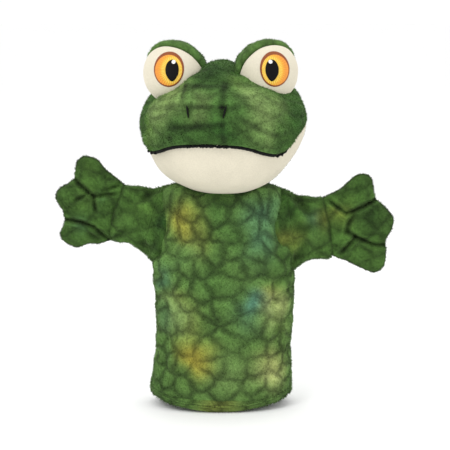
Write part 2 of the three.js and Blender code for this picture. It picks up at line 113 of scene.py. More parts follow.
def bell(distance, width):
    return np.exp(-((distance / width) ** 2))


def spin(points, degrees):
    """Points turned about Z."""
    a = math.radians(degrees)
    c, s = math.cos(a), math.sin(a)
    x, y, z = points[..., 0], points[..., 1], points[..., 2]
    return np.stack([c * x - s * y, s * x + c * y, z], -1)


def curve(knots, at):
    """A smooth line through (place, value) knots: Catmull-Rom slopes with Hermite blending."""
    x, y = np.array(knots, float).T
    slope = np.gradient(y, x)
    at = np.clip(at, x[0], x[-1])
    i = np.clip(np.searchsorted(x, at, side="right") - 1, 0, len(x) - 2)
    h = x[i + 1] - x[i]
    t = (at - x[i]) / h
    return (
        (2 * t**3 - 3 * t**2 + 1) * y[i]
        + (t**3 - 2 * t**2 + t) * h * slope[i]
        + (3 * t**2 - 2 * t**3) * y[i + 1]
        + (t**3 - t**2) * h * slope[i + 1]
    )


def lumps(p, size, seed):
    """Value noise from -1 to 1: random values on a lattice of cubes size mm wide, blended between corners."""
    table = np.random.default_rng(seed).uniform(-1, 1, (32, 32, 32))
    q = p / size + 500
    low = np.floor(q).astype(int)
    f = ease(q - low)
    total = np.zeros(p.shape[:-1])
    for corner in np.ndindex(2, 2, 2):
        weight = np.prod(np.where(corner, f, 1 - f), -1)
        i, j, k = np.moveaxis((low + corner) % 32, -1, 0)
        total += weight * table[i, j, k]
    return total


def normals(P, wrap):
    """Unit normals of a grid, the cross product of its two directions. Poles take the next row's."""
    across = np.roll(P, -1, 1) - np.roll(P, 1, 1) if wrap else np.gradient(P, axis=1)
    n = np.cross(across, np.gradient(P, axis=0))
    length = np.linalg.norm(n, axis=-1, keepdims=True)
    n = n / np.maximum(length, 1e-9)
    n[0] = np.where(length[0] < 1e-6, n[1], n[0])
    n[-1] = np.where(length[-1] < 1e-6, n[-2], n[-1])
    return n


def wrapped(angle):
    """An angle brought to -pi to pi."""
    return (angle + math.pi) % (2 * math.pi) - math.pi


def unrolled(d, axes, radius):
    """Flat places of directions on a ball, as distances and bearings from one of its points."""
    right, up, out = axes
    cosine = np.clip(d @ out, -1, 1)
    angle = np.arccos(cosine)
    stretch = radius * angle / np.maximum(np.sin(angle), 1e-3)
    return np.stack([stretch * (d @ right), stretch * (d @ up)], -1)


def creases(flat, lines):
    """Depth of valleys with a soft ridge on both sides: each line is (x0, y0, x1, y1, width w, depth).

    depth * (exp(-(d / w)^2) - 0.4 exp(-((d - 2w) / w)^2)), where d is the distance from the line.
    """
    total = np.zeros(flat.shape[:-1])
    for x0, y0, x1, y1, width, depth in lines:
        a, ab = np.array([x0, y0]), np.array([x1 - x0, y1 - y0])
        t = np.clip(((flat - a) @ ab) / (ab @ ab), 0, 1)
        d = np.linalg.norm(flat - a - t[..., None] * ab, axis=-1)
        fade = 1 - 0.6 * (2 * t - 1) ** 4
        total += depth * fade * (bell(d, width) - 0.4 * bell(d - 2 * width, width))
    return total


def fold(P, n, flat, lines, mask=1.0):
    """Sinks the creases into a surface."""
    return P - n * (creases(flat, lines) * mask)[..., None]


# ---- Colours -------------------------------------------------------------------------------------


def srgb(text):
    """Linear colour of an sRGB hex string."""
    v = np.array([int(text[i : i + 2], 16) / 255 for i in (1, 3, 5)])
    return np.where(v <= 0.04045, v / 12.92, ((v + 0.055) / 1.055) ** 2.4)


DYES_AND_SHADES = {
    "leaf": "#587a3c",
    "fern": "#3f632b",
    "deep": "#254a1b",
    "light": "#86a05f",
    "pale": "#a9b36b",
    "moss": "#43642a",
    "lime": "#6b8f3c",
    "olive": "#85893c",
    "ochre": "#aca03e",
    "teal": "#4f8270",
    "night": "#142c0e",
    "straw": "#c6ce88",
}


def dyed_and_shaded(p, ground, patches):
    """The ground colour with soft patches (x, y, z, radius, colour name, strength), each blurred by a warp.
    The patches give the cloth's own colour, and also painted shade and painted highlights where a table puts
    them there.
    """
    warp = np.stack([lumps(p, 14, s) for s in (1, 2, 3)], -1) * 6
    q = p + warp
    colour = np.broadcast_to(srgb(DYES_AND_SHADES[ground]), p.shape).copy()
    drift = lumps(p, 22, 4)[..., None]
    colour *= 1 + 0.16 * drift
    for x, y, z, radius, dye_and_shade, strength in patches:
        d = np.linalg.norm(q - np.array([x, y, z]), axis=-1)
        w = (strength * bell(d, radius))[..., None]
        colour = colour * (1 - w) + srgb(DYES_AND_SHADES[dye_and_shade]) * w
    return colour


# ---- Materials -----------------------------------------------------------------------------------

SCALE = {"operation": "SCALE"}
SUBTRACT = {"operation": "SUBTRACT"}
MULTIPLY = {"operation": "MULTIPLY"}
MULTIPLY_ADD = {"operation": "MULTIPLY_ADD"}
SMOOTH = {"interpolation_type": "SMOOTHSTEP"}
FLAT_NOISE = {"noise_dimensions": "2D"}


def node(tree, kind, settings=(), take=0, **links):
    """Adds a node and gives one of its outputs, by number or name.

    Settings are the node's own. Links are its inputs, in1 for a number or Base_Color for a name, and each is
    a socket to link or a plain value.
    """
    made = tree.nodes.new("ShaderNode" + kind)
    for name, value in dict(settings).items():
        setattr(made, name, value)
    for name, value in links.items():
        numbered = name.startswith("in")
        socket = made.inputs[int(name[2:]) if numbered else name.replace("_", " ")]
        if isinstance(value, bpy.types.NodeSocket):
            tree.links.new(value, socket)
        else:
            socket.default_value = value
    return made.outputs[take]


def start(name, roughness, sheen=0.0, sheen_colour="#ffffff", sheen_roughness=0.5):
    """A new material with a Principled shader: (material, tree, shader)."""
    material = bpy.data.materials.new(name)
    material.use_nodes = True
    tree = material.node_tree
    shader = tree.nodes["Principled BSDF"]
    shader.inputs["Roughness"].default_value = roughness
    shader.inputs["Specular IOR Level"].default_value = 0.25
    shader.inputs["Sheen Weight"].default_value = sheen
    shader.inputs["Sheen Roughness"].default_value = sheen_roughness
    shader.inputs["Sheen Tint"].default_value = (*srgb(sheen_colour), 1)
    return material, tree, shader


def printed_plush(name, cell, strength, wide=0.92, tall=1.06):
    """Short-pile printed plush: rounded scales with dark, blurred borders on a tie-dyed ground.

    The scales are a flat cell pattern on "print", the cloth's own two directions, with cells as wide as
    given in mm before they are drawn out. Each scale has painted light: a painted highlight towards its
    middle and top and painted shade at its lower edge, so the eye reads them as raised. Two fine noises read
    as pile, and the pile's tips are painted lighter than its roots.
    """
    material, tree, shader = start(name, 0.95, 0.12, "#c4d49a")
    rest = node(tree, "Attribute", {"attribute_name": "rest"}, "Vector")
    flat = node(tree, "Attribute", {"attribute_name": "print"}, "Vector")
    dye_and_shade = node(tree, "Attribute", {"attribute_name": "dye_and_shade"}, "Color")
    tip = node(tree, "Attribute", {"attribute_name": "tip"}, "Fac")
    wobble = node(tree, "TexNoise", FLAT_NOISE, "Color", Vector=flat, Scale=110.0, Detail=1.0)
    centred = node(tree, "VectorMath", SUBTRACT, in0=wobble, in1=(0.5, 0.5, 0.5))
    shift = node(tree, "VectorMath", SCALE, in0=centred, Scale=0.005)
    place = node(tree, "VectorMath", {"operation": "ADD"}, in0=flat, in1=shift)
    place = node(tree, "VectorMath", MULTIPLY, in0=place, in1=(wide, tall, 1.0))
    cells = {"voronoi_dimensions": "2D", "feature": "F1"}
    home = node(tree, "TexVoronoi", cells, "Position", Vector=place, Scale=1000 / cell, Randomness=0.8)
    cells["feature"] = "DISTANCE_TO_EDGE"
    edge = node(tree, "TexVoronoi", cells, "Distance", Vector=place, Scale=1000 / cell, Randomness=0.8)
    # painted shade: each scale is darker towards its lower edge and paler towards its top, as if lit from
    # above
    offset = node(tree, "VectorMath", SUBTRACT, in0=place, in1=home)
    above = node(tree, "SeparateXYZ", take=1, in0=offset)
    painted_scale_shade = node(tree, "MapRange", SMOOTH, Value=above, From_Min=-0.0005 * cell, From_Max=0.0004 * cell,
                  To_Min=0.82, To_Max=1.12)
    patchy = node(tree, "TexNoise", FLAT_NOISE, "Fac", Vector=flat, Scale=38.0)
    border = node(tree, "MapRange", SMOOTH, Value=edge, From_Min=0.0, From_Max=0.26, To_Min=strength,
                  To_Max=0.0)
    worn = node(tree, "MapRange", SMOOTH, Value=patchy, From_Min=0.3, From_Max=0.6, To_Min=0.5, To_Max=1.0)
    dark = node(tree, "Math", MULTIPLY, in0=border, in1=worn)
    # painted highlight: each scale is lighter away from its border, towards its middle
    crown = node(tree, "MapRange", SMOOTH, Value=edge, From_Min=0.08, From_Max=0.42, To_Min=0.94,
                 To_Max=1 + 0.2 * strength)
    crown = node(tree, "Math", MULTIPLY, in0=crown, in1=painted_scale_shade)
    grain = node(tree, "TexNoise", (), "Fac", Vector=rest, Scale=850.0, Detail=2.0)
    tuft = node(tree, "TexNoise", (), "Fac", Vector=rest, Scale=300.0, Detail=2.0)
    fine = node(tree, "MapRange", SMOOTH, Value=grain, From_Min=0.3, From_Max=0.7, To_Min=0.86, To_Max=1.14)
    coarse = node(tree, "MapRange", SMOOTH, Value=tuft, From_Min=0.3, From_Max=0.7, To_Min=0.92, To_Max=1.08)
    shade = node(tree, "Math", SUBTRACT, in0=1.0, in1=dark)
    shade = node(tree, "Math", MULTIPLY, in0=shade, in1=crown)
    shade = node(tree, "Math", MULTIPLY, in0=shade, in1=fine)
    shade = node(tree, "Math", MULTIPLY, in0=shade, in1=coarse)
    # painted light on the pile: each hair is paler at its tip than at its root
    painted_tip_light = node(tree, "Math", MULTIPLY_ADD, in0=tip, in1=0.5, in2=0.92)
    shade = node(tree, "Math", MULTIPLY, in0=shade, in1=painted_tip_light)
    shaded = node(tree, "VectorMath", SCALE, in0=dye_and_shade, Scale=shade)
    tree.links.new(shaded, shader.inputs["Base Color"])
    height = node(tree, "Math", MULTIPLY, in0=grain, in1=0.6)
    height = node(tree, "Math", MULTIPLY_ADD, in0=dark, in1=-0.9, in2=height)
    bump = node(tree, "Bump", Strength=0.5, Distance=0.0008, Height=height)
    tree.links.new(bump, shader.inputs["Normal"])
    return material


def plain_plush(name, colour):
    """Cream velour: nearly even, with a fine nap that the eye reads as softness."""
    material, tree, shader = start(name, 0.9, 0.3, "#fff6e6")
    rest = node(tree, "Attribute", {"attribute_name": "rest"}, "Vector")
    nap = node(tree, "TexNoise", (), "Fac", Vector=rest, Scale=1100.0, Detail=2.0)
    cloud = node(tree, "TexNoise", (), "Fac", Vector=rest, Scale=60.0, Detail=2.0)
    fine = node(tree, "MapRange", SMOOTH, Value=nap, From_Min=0.3, From_Max=0.7, To_Min=0.95, To_Max=1.03)
    broad = node(tree, "MapRange", SMOOTH, Value=cloud, From_Min=0.3, From_Max=0.7, To_Min=0.97, To_Max=1.02)
    shade = node(tree, "Math", MULTIPLY, in0=fine, in1=broad)
    shaded = node(tree, "VectorMath", SCALE, in0=srgb(colour), Scale=shade)
    tree.links.new(shaded, shader.inputs["Base Color"])
    bump = node(tree, "Bump", Strength=0.35, Distance=0.0004, Height=nap)
    tree.links.new(bump, shader.inputs["Normal"])
    return material


def thread(name, colour, roughness=0.45):
    """Satin-stitch thread that glints a little: ridges 0.7 mm apart, drawn coarse so that they show."""
    material, tree, shader = start(name, roughness)
    shader.inputs["Specular IOR Level"].default_value = 0.1
    shader.inputs["Base Color"].default_value = (*srgb(colour), 1)
    rest = node(tree, "Attribute", {"attribute_name": "rest"}, "Vector")
    ridges = node(tree, "TexWave", {"bands_direction": "Z"}, "Fac", Vector=rest, Scale=450.0, Distortion=1.5)
    bump = node(tree, "Bump", Strength=0.5, Distance=0.0002, Height=ridges)
    tree.links.new(bump, shader.inputs["Normal"])
    return material


def woven(name, colour):
    """Plain woven cotton with a dull, even look: threads 1 mm apart, drawn coarse so that they show."""
    material, tree, shader = start(name, 0.85, 0.1)
    rest = node(tree, "Attribute", {"attribute_name": "rest"}, "Vector")
    warp = node(tree, "TexWave", {"bands_direction": "X"}, "Fac", Vector=rest, Scale=320.0)
    weft = node(tree, "TexWave", {"bands_direction": "Z"}, "Fac", Vector=rest, Scale=320.0)
    both = node(tree, "Math", {"operation": "MAXIMUM"}, in0=warp, in1=weft)
    shade = node(tree, "MapRange", SMOOTH, Value=both, From_Min=0.0, From_Max=1.0, To_Min=0.8, To_Max=1.08)
    shaded = node(tree, "VectorMath", SCALE, in0=srgb(colour), Scale=shade)
    tree.links.new(shaded, shader.inputs["Base Color"])
    bump = node(tree, "Bump", Strength=0.5, Distance=0.0003, Height=both)
    tree.links.new(bump, shader.inputs["Normal"])
    return material


def iris_thread():
    """Satin stitch in rays: yellow round the pupil, amber outside it, with pale and dark threads between."""
    material, tree, shader = start("iris_satin_stitch", 0.5, 0.1)
    eye_mark = node(tree, "Attribute", {"attribute_name": "eye"}, "Vector")
    out, angle, rim = (node(tree, "SeparateXYZ", take=k, in0=eye_mark) for k in range(3))
    turns = node(tree, "Math", MULTIPLY, in0=angle, in1=40.0)
    rays = node(tree, "Math", {"operation": "SINE"}, in0=turns)
    edge = node(tree, "Math", MULTIPLY_ADD, in0=rays, in1=0.12, in2=out)
    fan = node(tree, "MapRange", SMOOTH, Value=rays, From_Min=-0.2, From_Max=0.9)
    yellow = node(tree, "MixRGB", Fac=fan, Color1=(*srgb("#e3a92f"), 1), Color2=(*srgb("#eedb68"), 1))
    outer = node(tree, "MapRange", SMOOTH, Value=edge, From_Min=0.74, From_Max=0.92)
    amber = node(tree, "MixRGB", Fac=outer, Color1=yellow, Color2=(*srgb("#e08f37"), 1))
    border = node(tree, "MapRange", SMOOTH, Value=rim, From_Min=0.98, From_Max=1.01)
    brown = node(tree, "MixRGB", Fac=border, Color1=amber, Color2=(*srgb("#86451f"), 1))
    tree.links.new(brown, shader.inputs["Base Color"])
    bump = node(tree, "Bump", Strength=0.5, Distance=0.0003, Height=rays)
    tree.links.new(bump, shader.inputs["Normal"])
    return material


BODY_PLUSH = printed_plush("printed_short_pile_plush_body", 15.0, 0.55)
HEAD_PLUSH = printed_plush("printed_short_pile_plush_head", 14.0, 0.30, 0.66, 1.0)
LIMB_PLUSH = printed_plush("printed_short_pile_plush_limbs", 15.0, 0.40)
CREAM = plain_plush("cream_velour", "#d3ccb8")
BLACK = thread("black_embroidery_thread", "#0b0a0b")
WHITE = thread("white_satin_stitch", "#f0f0ee", 0.35)
IRIS = iris_thread()
COTTON = woven("dark_green_woven_cotton", "#35512c")
TAPE = woven("cotton_binding_tape", "#2c4424")
RIBBON = woven("white_satin_ribbon", "#f2f1ec")


# ---- Meshes --------------------------------------------------------------------------------------


def quads(rows, cols, wrap, keep=None):
    """Corner numbers of every cell of a grid, turning so that the cell faces across x along."""
    i, j = np.meshgrid(np.arange(rows - 1), np.arange(cols if wrap else cols - 1), indexing="ij")
    k = (j + 1) % cols
    faces = np.stack([i * cols + j, i * cols + k, (i + 1) * cols + k, (i + 1) * cols + j], -1).reshape(-1, 4)
    return faces if keep is None else faces[keep.reshape(-1)]


def put(mesh, name, kind, values):
    key = "vector" if kind == "FLOAT_VECTOR" else "color" if kind == "FLOAT_COLOR" else "value"
    made = mesh.attributes.new(name, kind, "POINT")
    made.data.foreach_set(key, np.ascontiguousarray(values, np.float32).ravel())


def piece(name, points, faces, material, dye_and_shade=None, flat=None, eye=None, thick=0.0):
    """One mesh from points in mm, without those that no face uses, and with doubles at poles merged.

    With a thickness it is a closed cloth, thickened inwards.
    """
    mesh = bpy.data.meshes.new(name)
    used, numbers = np.unique(faces, return_inverse=True)
    place = points.reshape(-1, 3)[used]
    mesh.from_pydata((place / 1000).tolist(), [], numbers.reshape(faces.shape).tolist())
    put(mesh, "rest", "FLOAT_VECTOR", place / 1000)
    if dye_and_shade is not None:
        put(mesh, "dye_and_shade", "FLOAT_COLOR", np.insert(dye_and_shade.reshape(-1, 3)[used], 3, 1, axis=1))
        put(mesh, "print", "FLOAT_VECTOR", np.insert(flat.reshape(-1, 2)[used] / 1000, 2, 0, axis=1))
    if eye is not None:
        put(mesh, "eye", "FLOAT_VECTOR", eye[used])
    obj = bpy.data.objects.new(name, mesh)
    bpy.context.scene.collection.objects.link(obj)
    weld = obj.modifiers.new("weld", "WELD")
    weld.merge_threshold = 1e-5
    if thick:
        solid = obj.modifiers.new("cloth", "SOLIDIFY")
        solid.thickness = thick / 1000
        solid.offset = -1
    final = bpy.data.meshes.new_from_object(obj.evaluated_get(bpy.context.evaluated_depsgraph_get()))
    obj.modifiers.clear()
    obj.data = final
    bpy.data.meshes.remove(mesh)
    final.name = name
    final.materials.clear()
    final.materials.append(material)
    final.shade_smooth()
    return obj


def pile(name, P, wrap, material, dye_and_shade, flat, length=PILE, comb=(0, 0, -1), keep=None, seed=5):
    """Pile as thin three-sided spikes, rooted at random on the grid's outer face.

    Each leans along comb and at random: tip = root + length * unit(normal + 0.7 comb + 0.5 random).
    """
    rng = np.random.default_rng(seed)
    rows, cols = P.shape[:2]
    faces = quads(rows, cols, wrap, keep)
    place, colours, prints = P.reshape(-1, 3), dye_and_shade.reshape(-1, 3), flat.reshape(-1, 2)
    n = normals(P, wrap).reshape(-1, 3)
    a, b, c, d = (place[faces[:, k]] for k in range(4))
    area = np.linalg.norm(np.cross(c - a, d - b), axis=1) / 2
    count = rng.poisson(area * PILE_DENSITY)
    which = np.repeat(np.arange(len(faces)), count)
    u, v = rng.random((2, len(which), 1))
    mix = [(1 - u) * (1 - v), u * (1 - v), u * v, (1 - u) * v]
    root, up, colour, mark = (
        sum(m * values[faces[which, k]] for k, m in enumerate(mix)) for values in (place, n, colours, prints)
    )
    above = root[:, 2] > 2 * length
    root, up, colour, mark = root[above], up[above], colour[above], mark[above]
    lean = up + 0.7 * np.array(comb) + 0.5 * rng.normal(size=up.shape)
    lean /= np.linalg.norm(lean, axis=1, keepdims=True)
    tip = root + lean * length * rng.uniform(0.7, 1.2, (len(root), 1))
    side = np.cross(lean, rng.normal(size=lean.shape))
    side /= np.linalg.norm(side, axis=1, keepdims=True)
    other = np.cross(lean, side)
    base = root - 0.25 * up
    angles = [2 * math.pi * k / 3 for k in range(3)]
    ring = [base + SPIKE * (math.cos(t) * side + math.sin(t) * other) for t in angles]
    points = np.stack([*ring, tip], 1).reshape(-1, 3)
    first = 4 * np.arange(len(root))[:, None, None]
    spikes = (first + np.array([[0, 1, 3], [1, 2, 3], [2, 0, 3], [2, 1, 0]])).reshape(-1, 3)
    mesh = bpy.data.meshes.new(name)
    mesh.vertices.add(len(points))
    mesh.vertices.foreach_set("co", (points / 1000).ravel())
    mesh.loops.add(spikes.size)
    mesh.loops.foreach_set("vertex_index", spikes.ravel())
    mesh.polygons.add(len(spikes))
    mesh.polygons.foreach_set("loop_start", 3 * np.arange(len(spikes)))
    mesh.update(calc_edges=True)
    put(mesh, "rest", "FLOAT_VECTOR", np.repeat(root, 4, 0) / 1000)
    put(mesh, "dye_and_shade", "FLOAT_COLOR", np.repeat(np.insert(colour, 3, 1, axis=1), 4, 0))
    put(mesh, "print", "FLOAT_VECTOR", np.repeat(np.insert(mark / 1000, 2, 0, axis=1), 4, 0))
    put(mesh, "tip", "FLOAT", np.tile([0.0, 0.0, 0.0, 1.0], len(root)))
    mesh.materials.append(material)
    mesh.shade_smooth()
    obj = bpy.data.objects.new(name, mesh)
    bpy.context.scene.collection.objects.link(obj)
    return obj


# ---- Body ----------------------------------------------------------------------------------------

HEM = hem_high[2] - hem_low[2]
HEM_OVERLAP = 1.5  # the panels reach down into the hem
HEM_HALF = (49.6, 32.0)  # half width and half depth of the roll's middle line
HEM_THICK = 2.7
BODY_TOP = 160
BODY_ROWS, BODY_COLS = 106, 176
FLATNESS = 0.9  # squares the body's oval, so that the front lies flatter
ARMHOLE_HALF = (15, 11)  # half height and half depth of the opening in the body
ARMHOLE_RISE = 3
TAPE_HALF = (15.9, 10.9)
BODY_WIDTH = [(0, 51.5), (8, 51.5), (25, 50), (50, 49), (80, 49), (105, 50.5), (113, 50), (125, 47.5),
              (140, 46), (149, 44.5), (153, 41.5), (155, 36.5), (157, 28), (160, 17)]  # (height, half width)
BODY_DEPTH = [(0, 34), (8, 34), (25, 33), (60, 31.5), (105, 31), (130, 29), (147, 26), (153, 23), (157, 18),
              (160, 16)]
# Rings of the neck: radius below, radius above, lowest and highest.
NECK_GATHER = (18.6, 17.0, 151.0, 163.0)
NECK_LINING = (14.4, 13.4, 150.0, 165.0)
# Folds on the front as (x, z) lines: side strips, underarms and the pull of the shoulders.
BODY_FOLDS = [
    (-39, 98, -41, 22, 3.2, 1.9),
    (40, 96, 42, 24, 3.2, 1.7),
    (-50, 101, -36, 90, 2.4, 2.0),
    (-50, 84, -38, 72, 2.6, 1.8),
    (-50, 62, -40, 50, 2.6, 1.5),
    (-50, 42, -42, 30, 2.4, 1.2),
    (51, 101, 39, 90, 2.6, 2.0),
    (51, 90, 36, 76, 2.6, 1.9),
    (51, 70, 40, 57, 2.6, 1.7),
    (51, 44, 43, 22, 2.6, 1.6),
    (-48, 111, -34, 122, 2.8, 2.0),
    (53, 104, 40, 116, 2.8, 2.2),
    (45, 116, 35, 141, 3.0, 2.0),
    (-40, 150, -28, 132, 3.0, 1.0),
]
BODY_DYES = [
    (-31, -16, 141, 12, "ochre", 0.75),
    (-16, -16, 126, 10, "olive", 0.8),
    (-26, -16, 120, 11, "light", 0.35),
    (-19, -18, 41, 11, "ochre", 0.85),
    (-30, -18, 47, 10, "olive", 0.6),
    (37, -18, 84, 9, "ochre", 0.6),
    (40, -18, 68, 10, "olive", 0.6),
    (40, -18, 36, 11, "olive", 0.7),
    (-31, -18, 78, 10, "olive", 0.6),
    (-28, -18, 62, 9, "olive", 0.5),
    (33, -16, 144, 13, "teal", 0.75),
    (27, -16, 122, 12, "teal", 0.55),
    (24, -18, 78, 12, "teal", 0.7),
    (-45, -8, 95, 10, "teal", 0.5),
    (-45, -8, 66, 9, "teal", 0.4),
    (6, -18, 105, 24, "leaf", 0.6),
    (4, -18, 24, 18, "light", 0.35),
    (0, -16, 150, 14, "fern", 0.7),
    (0, -18, 132, 15, "fern", 0.75),
    (-3, -18, 92, 14, "fern", 0.5),
    (-37, -14, 70, 12, "light", 1.0),
    (39, -16, 30, 13, "straw", 0.6),
    (43, -14, 72, 11, "straw", 0.8),
    (24, -18, 79, 8, "teal", 0.5),
    (-15, -18, 40, 9, "ochre", 0.5),
    (-29, -16, 134, 8, "ochre", 0.4),
    (-46, 0, 14, 12, "deep", 0.35),
    (46, 0, 16, 12, "deep", 0.4),
    (44, 0, 108, 12, "fern", 0.6),
    (-20, 48, 120, 14, "olive", 0.7),
    (22, 48, 60, 14, "teal", 0.6),
    (-10, 48, 40, 12, "ochre", 0.6),
    (26, 48, 128, 13, "light", 0.4),
]


def shoulder_rise(x, y, z):
    """The shoulders climb 8 mm beside the chin, and the back drops 5 mm so that the head can nod."""
    climb = 8 * ease((np.abs(x) - 14) / 14) * (1 - 0.5 * ease(y / 10))
    return (climb - 5 * ease(y / 10)) * ease((z - 132) / 20)


def hem_rise(x):
    """The hem's sides hang a little higher than its front and back."""
    return 8.5 * np.clip(np.abs(x) / 52, 0, 1) ** 2.2


def squared(v, power):
    """A sine or cosine raised to a power with its sign kept: below 1 squares an oval."""
    return np.sign(v) * np.abs(v) ** power


def body_grid(inset):
    """An oval tube: x = W(z) cos(a), y = D(z) sin(a), with lumps and folds."""
    z = np.linspace(HEM - HEM_OVERLAP, BODY_TOP, BODY_ROWS)[:, None]
    a = np.linspace(0, 2 * math.pi, BODY_COLS, endpoint=False)[None]
    width, depth = curve(BODY_WIDTH, z), curve(BODY_DEPTH, z)
    x = (width - inset) * squared(np.cos(a), FLATNESS)
    y = (depth - inset) * squared(np.sin(a), FLATNESS)
    P = np.stack([x, y, z + 0 * x], -1)
    n = normals(P, True)
    soft = ease((150 - z) / 20)
    P = P + n * (soft * (1.1 * lumps(P, 24, 11) + 0.4 * lumps(P, 9, 12)))[..., None]
    P[..., 0] += (1.2 + 3.8 * ease(P[..., 0] / 40)) * bell(z - 80, 42)  # its right side bulges
    front = ease(-P[..., 1] / 8)
    P = fold(P, n, P[..., [0, 2]], BODY_FOLDS, front)
    mirrored = P[..., [0, 2]] * [-1, 1]
    P = fold(P, n, mirrored, BODY_FOLDS, ease(P[..., 1] / 8))
    side_seam = bell(P[..., 1], 1.6) * (z < 150)
    P = P - n * (1.2 * side_seam)[..., None]
    P[..., 2] += hem_rise(P[..., 0]) * ease(1 - z / 60) + shoulder_rise(P[..., 0], P[..., 1], z)
    round_it = np.where(a > math.pi, 50 * (a - 1.5 * math.pi), 50 * (a - 0.5 * math.pi) + 300)
    return P + [TORSO[0], TORSO[1], 0], np.stack(np.broadcast_arrays(round_it, z), -1)


def arm_frame(side):
    """(origin, along, up, front) of an arm: its bending point at the shoulder and its three directions."""
    origin = joint_point(f"{side}_arm_raise")
    up = np.array(JOINTS[f"{side}_hand_bend"]["axis"])
    front = np.array([0.0, -1.0, 0.0])
    along = np.cross(up, front) * SIDES[side]
    return origin, along / np.linalg.norm(along), up, front


def in_arm(side, points):
    """Row-frame points as (along, across, forward) of an arm."""
    origin, along, up, front = arm_frame(side)
    return (points - origin) @ np.stack([along, up, front], 1)


def from_arm(side, points):
    origin, along, up, front = arm_frame(side)
    return origin + points @ np.stack([along, up, front], 0)


def body():
    P, flat = body_grid(0)
    centre = (P[:-1] + P[1:]) / 2
    centre = (centre + np.roll(centre, -1, 1)) / 2
    keep = np.ones(centre.shape[:2], bool)
    for side in SIDES:
        q = in_arm(side, centre)
        tall, deep = ARMHOLE_HALF
        hole = (q[..., 1] - ARMHOLE_RISE) ** 2 / tall**2 + q[..., 2] ** 2 / deep**2 < 1
        keep &= ~((q[..., 0] > -22) & hole)
    dye_and_shade = dyed_and_shaded(P, "leaf", BODY_DYES)
    cell_front = np.broadcast_to(np.arange(P.shape[1]) >= P.shape[1] // 2, keep.shape)
    for part, mask in (("front", cell_front), ("back", ~cell_front)):
        faces = quads(*P.shape[:2], True, keep & mask)
        cloth = piece(f"body_{part}_cloth", P, faces, BODY_PLUSH, dye_and_shade, flat, thick=PLUSH)
        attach(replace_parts(cloth, f"body_{part}_panel"), "torso")
        fur = pile(f"body_{part}_pile", P, True, BODY_PLUSH, dye_and_shade, flat, keep=keep & mask, seed=6)
        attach(fur, "torso")
    hem()
    lining(keep)


def hem():
    """A plush roll round the opening: an oval ring whose section is a rounded, slightly uneven bar."""
    a = np.linspace(0, 2 * math.pi, BODY_COLS, endpoint=False)[None]
    t = np.linspace(0, 2 * math.pi, 25)[:, None]
    cos, sin = np.cos(a), np.sin(a)
    width = HEM_HALF[0] * squared(cos, FLATNESS)
    depth = HEM_HALF[1] * squared(sin, FLATNESS)
    centre = np.stack([width, depth, 0 * width], -1)
    out = np.stack([cos * HEM_HALF[1], sin * HEM_HALF[0], 0 * cos], -1)
    out /= np.linalg.norm(out, axis=-1, keepdims=True)
    wave = 1 + 0.12 * lumps(centre, 12, 21) + 0.06 * lumps(centre, 5, 22)
    thick, tall = HEM_THICK * wave, HEM / 2 + 0.6
    ring = centre + out * (thick * np.cos(t))[..., None]
    z = tall + tall * squared(np.sin(t), 0.8) + 0 * width
    z = z * (1 + 0.05 * lumps(centre, 16, 23))
    ring = ring + np.stack([0 * z, 0 * z, z + hem_rise(width)], -1)
    ring = ring + [TORSO[0], TORSO[1], 0]
    dye_and_shade = dyed_and_shaded(ring, "leaf", [*BODY_DYES, (-2, -18, 4, 14, "olive", 0.7)]) * 0.9
    flat = np.stack(np.broadcast_arrays(50 * wrapped(a - 1.5 * math.pi), 5 * t), -1)
    roll = piece("hem_roll", ring, quads(25, BODY_COLS, True), BODY_PLUSH, dye_and_shade, flat)
    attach(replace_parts(roll, "hem_band"), "torso")
    fur = pile("hem_pile", ring, True, BODY_PLUSH, dye_and_shade, flat, seed=7)
    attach(fur, "torso")


def lining(keep):
    """The woven lining, 0.4 mm inside the plush."""
    P = body_grid(PLUSH + 0.4)[0]
    cloth = piece("body_lining_cloth", P, quads(*P.shape[:2], True, keep), COTTON, thick=LINING)
    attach(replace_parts(cloth, "body_lining"), "torso")
    low, high = cad_box("care_label")
    y = np.linspace(low[1], high[1], 9)[None]
    z = np.linspace(low[2], high[2], 14)[:, None]
    x = (low[0] + high[0]) / 2 - 0.8 * ease((high[2] - z) / 22) + 0.3 * np.sin((y - low[1]) / 3)
    P = np.stack(np.broadcast_arrays(x, y, z), -1)
    label = piece("care_label_ribbon", P, quads(14, 9, False), RIBBON, thick=0.3)
    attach(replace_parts(label, "care_label"), "torso")


def neck():
    """Two short rings of cloth between body and head."""
    a = np.linspace(0, 2 * math.pi, 72, endpoint=False)[None]
    rings = [
        ("neck_gather", "torso", "neck_outer", "neck_collar", LIMB_PLUSH, "green_plush", *NECK_GATHER),
        ("neck_lining_cloth", "neck_outer", "neck_inner", "neck_lining", COTTON, "lining", *NECK_LINING),
    ]
    for name, first, second, replaced, material, finish, wide, narrow, low, high in rings:
        z = np.linspace(low, high, 9)[:, None]
        radius = wide + (narrow - wide) * ease((z - low) / (high - low)) + 0.5 * np.cos(24 * a)
        P = np.stack([radius * np.cos(a), radius * np.sin(a), z + 0 * a], -1) + [NECK[0], NECK[1], 0]
        flat = np.stack(np.broadcast_arrays(wide * a, z), -1)
        cloth = piece(name, P, quads(9, 72, True), material, dyed_and_shaded(P, "fern", []), flat, thick=0.9)
        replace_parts(cloth, replaced)
        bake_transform(cloth)


# ---- Arms ----------------------------------------------------------------------------------------

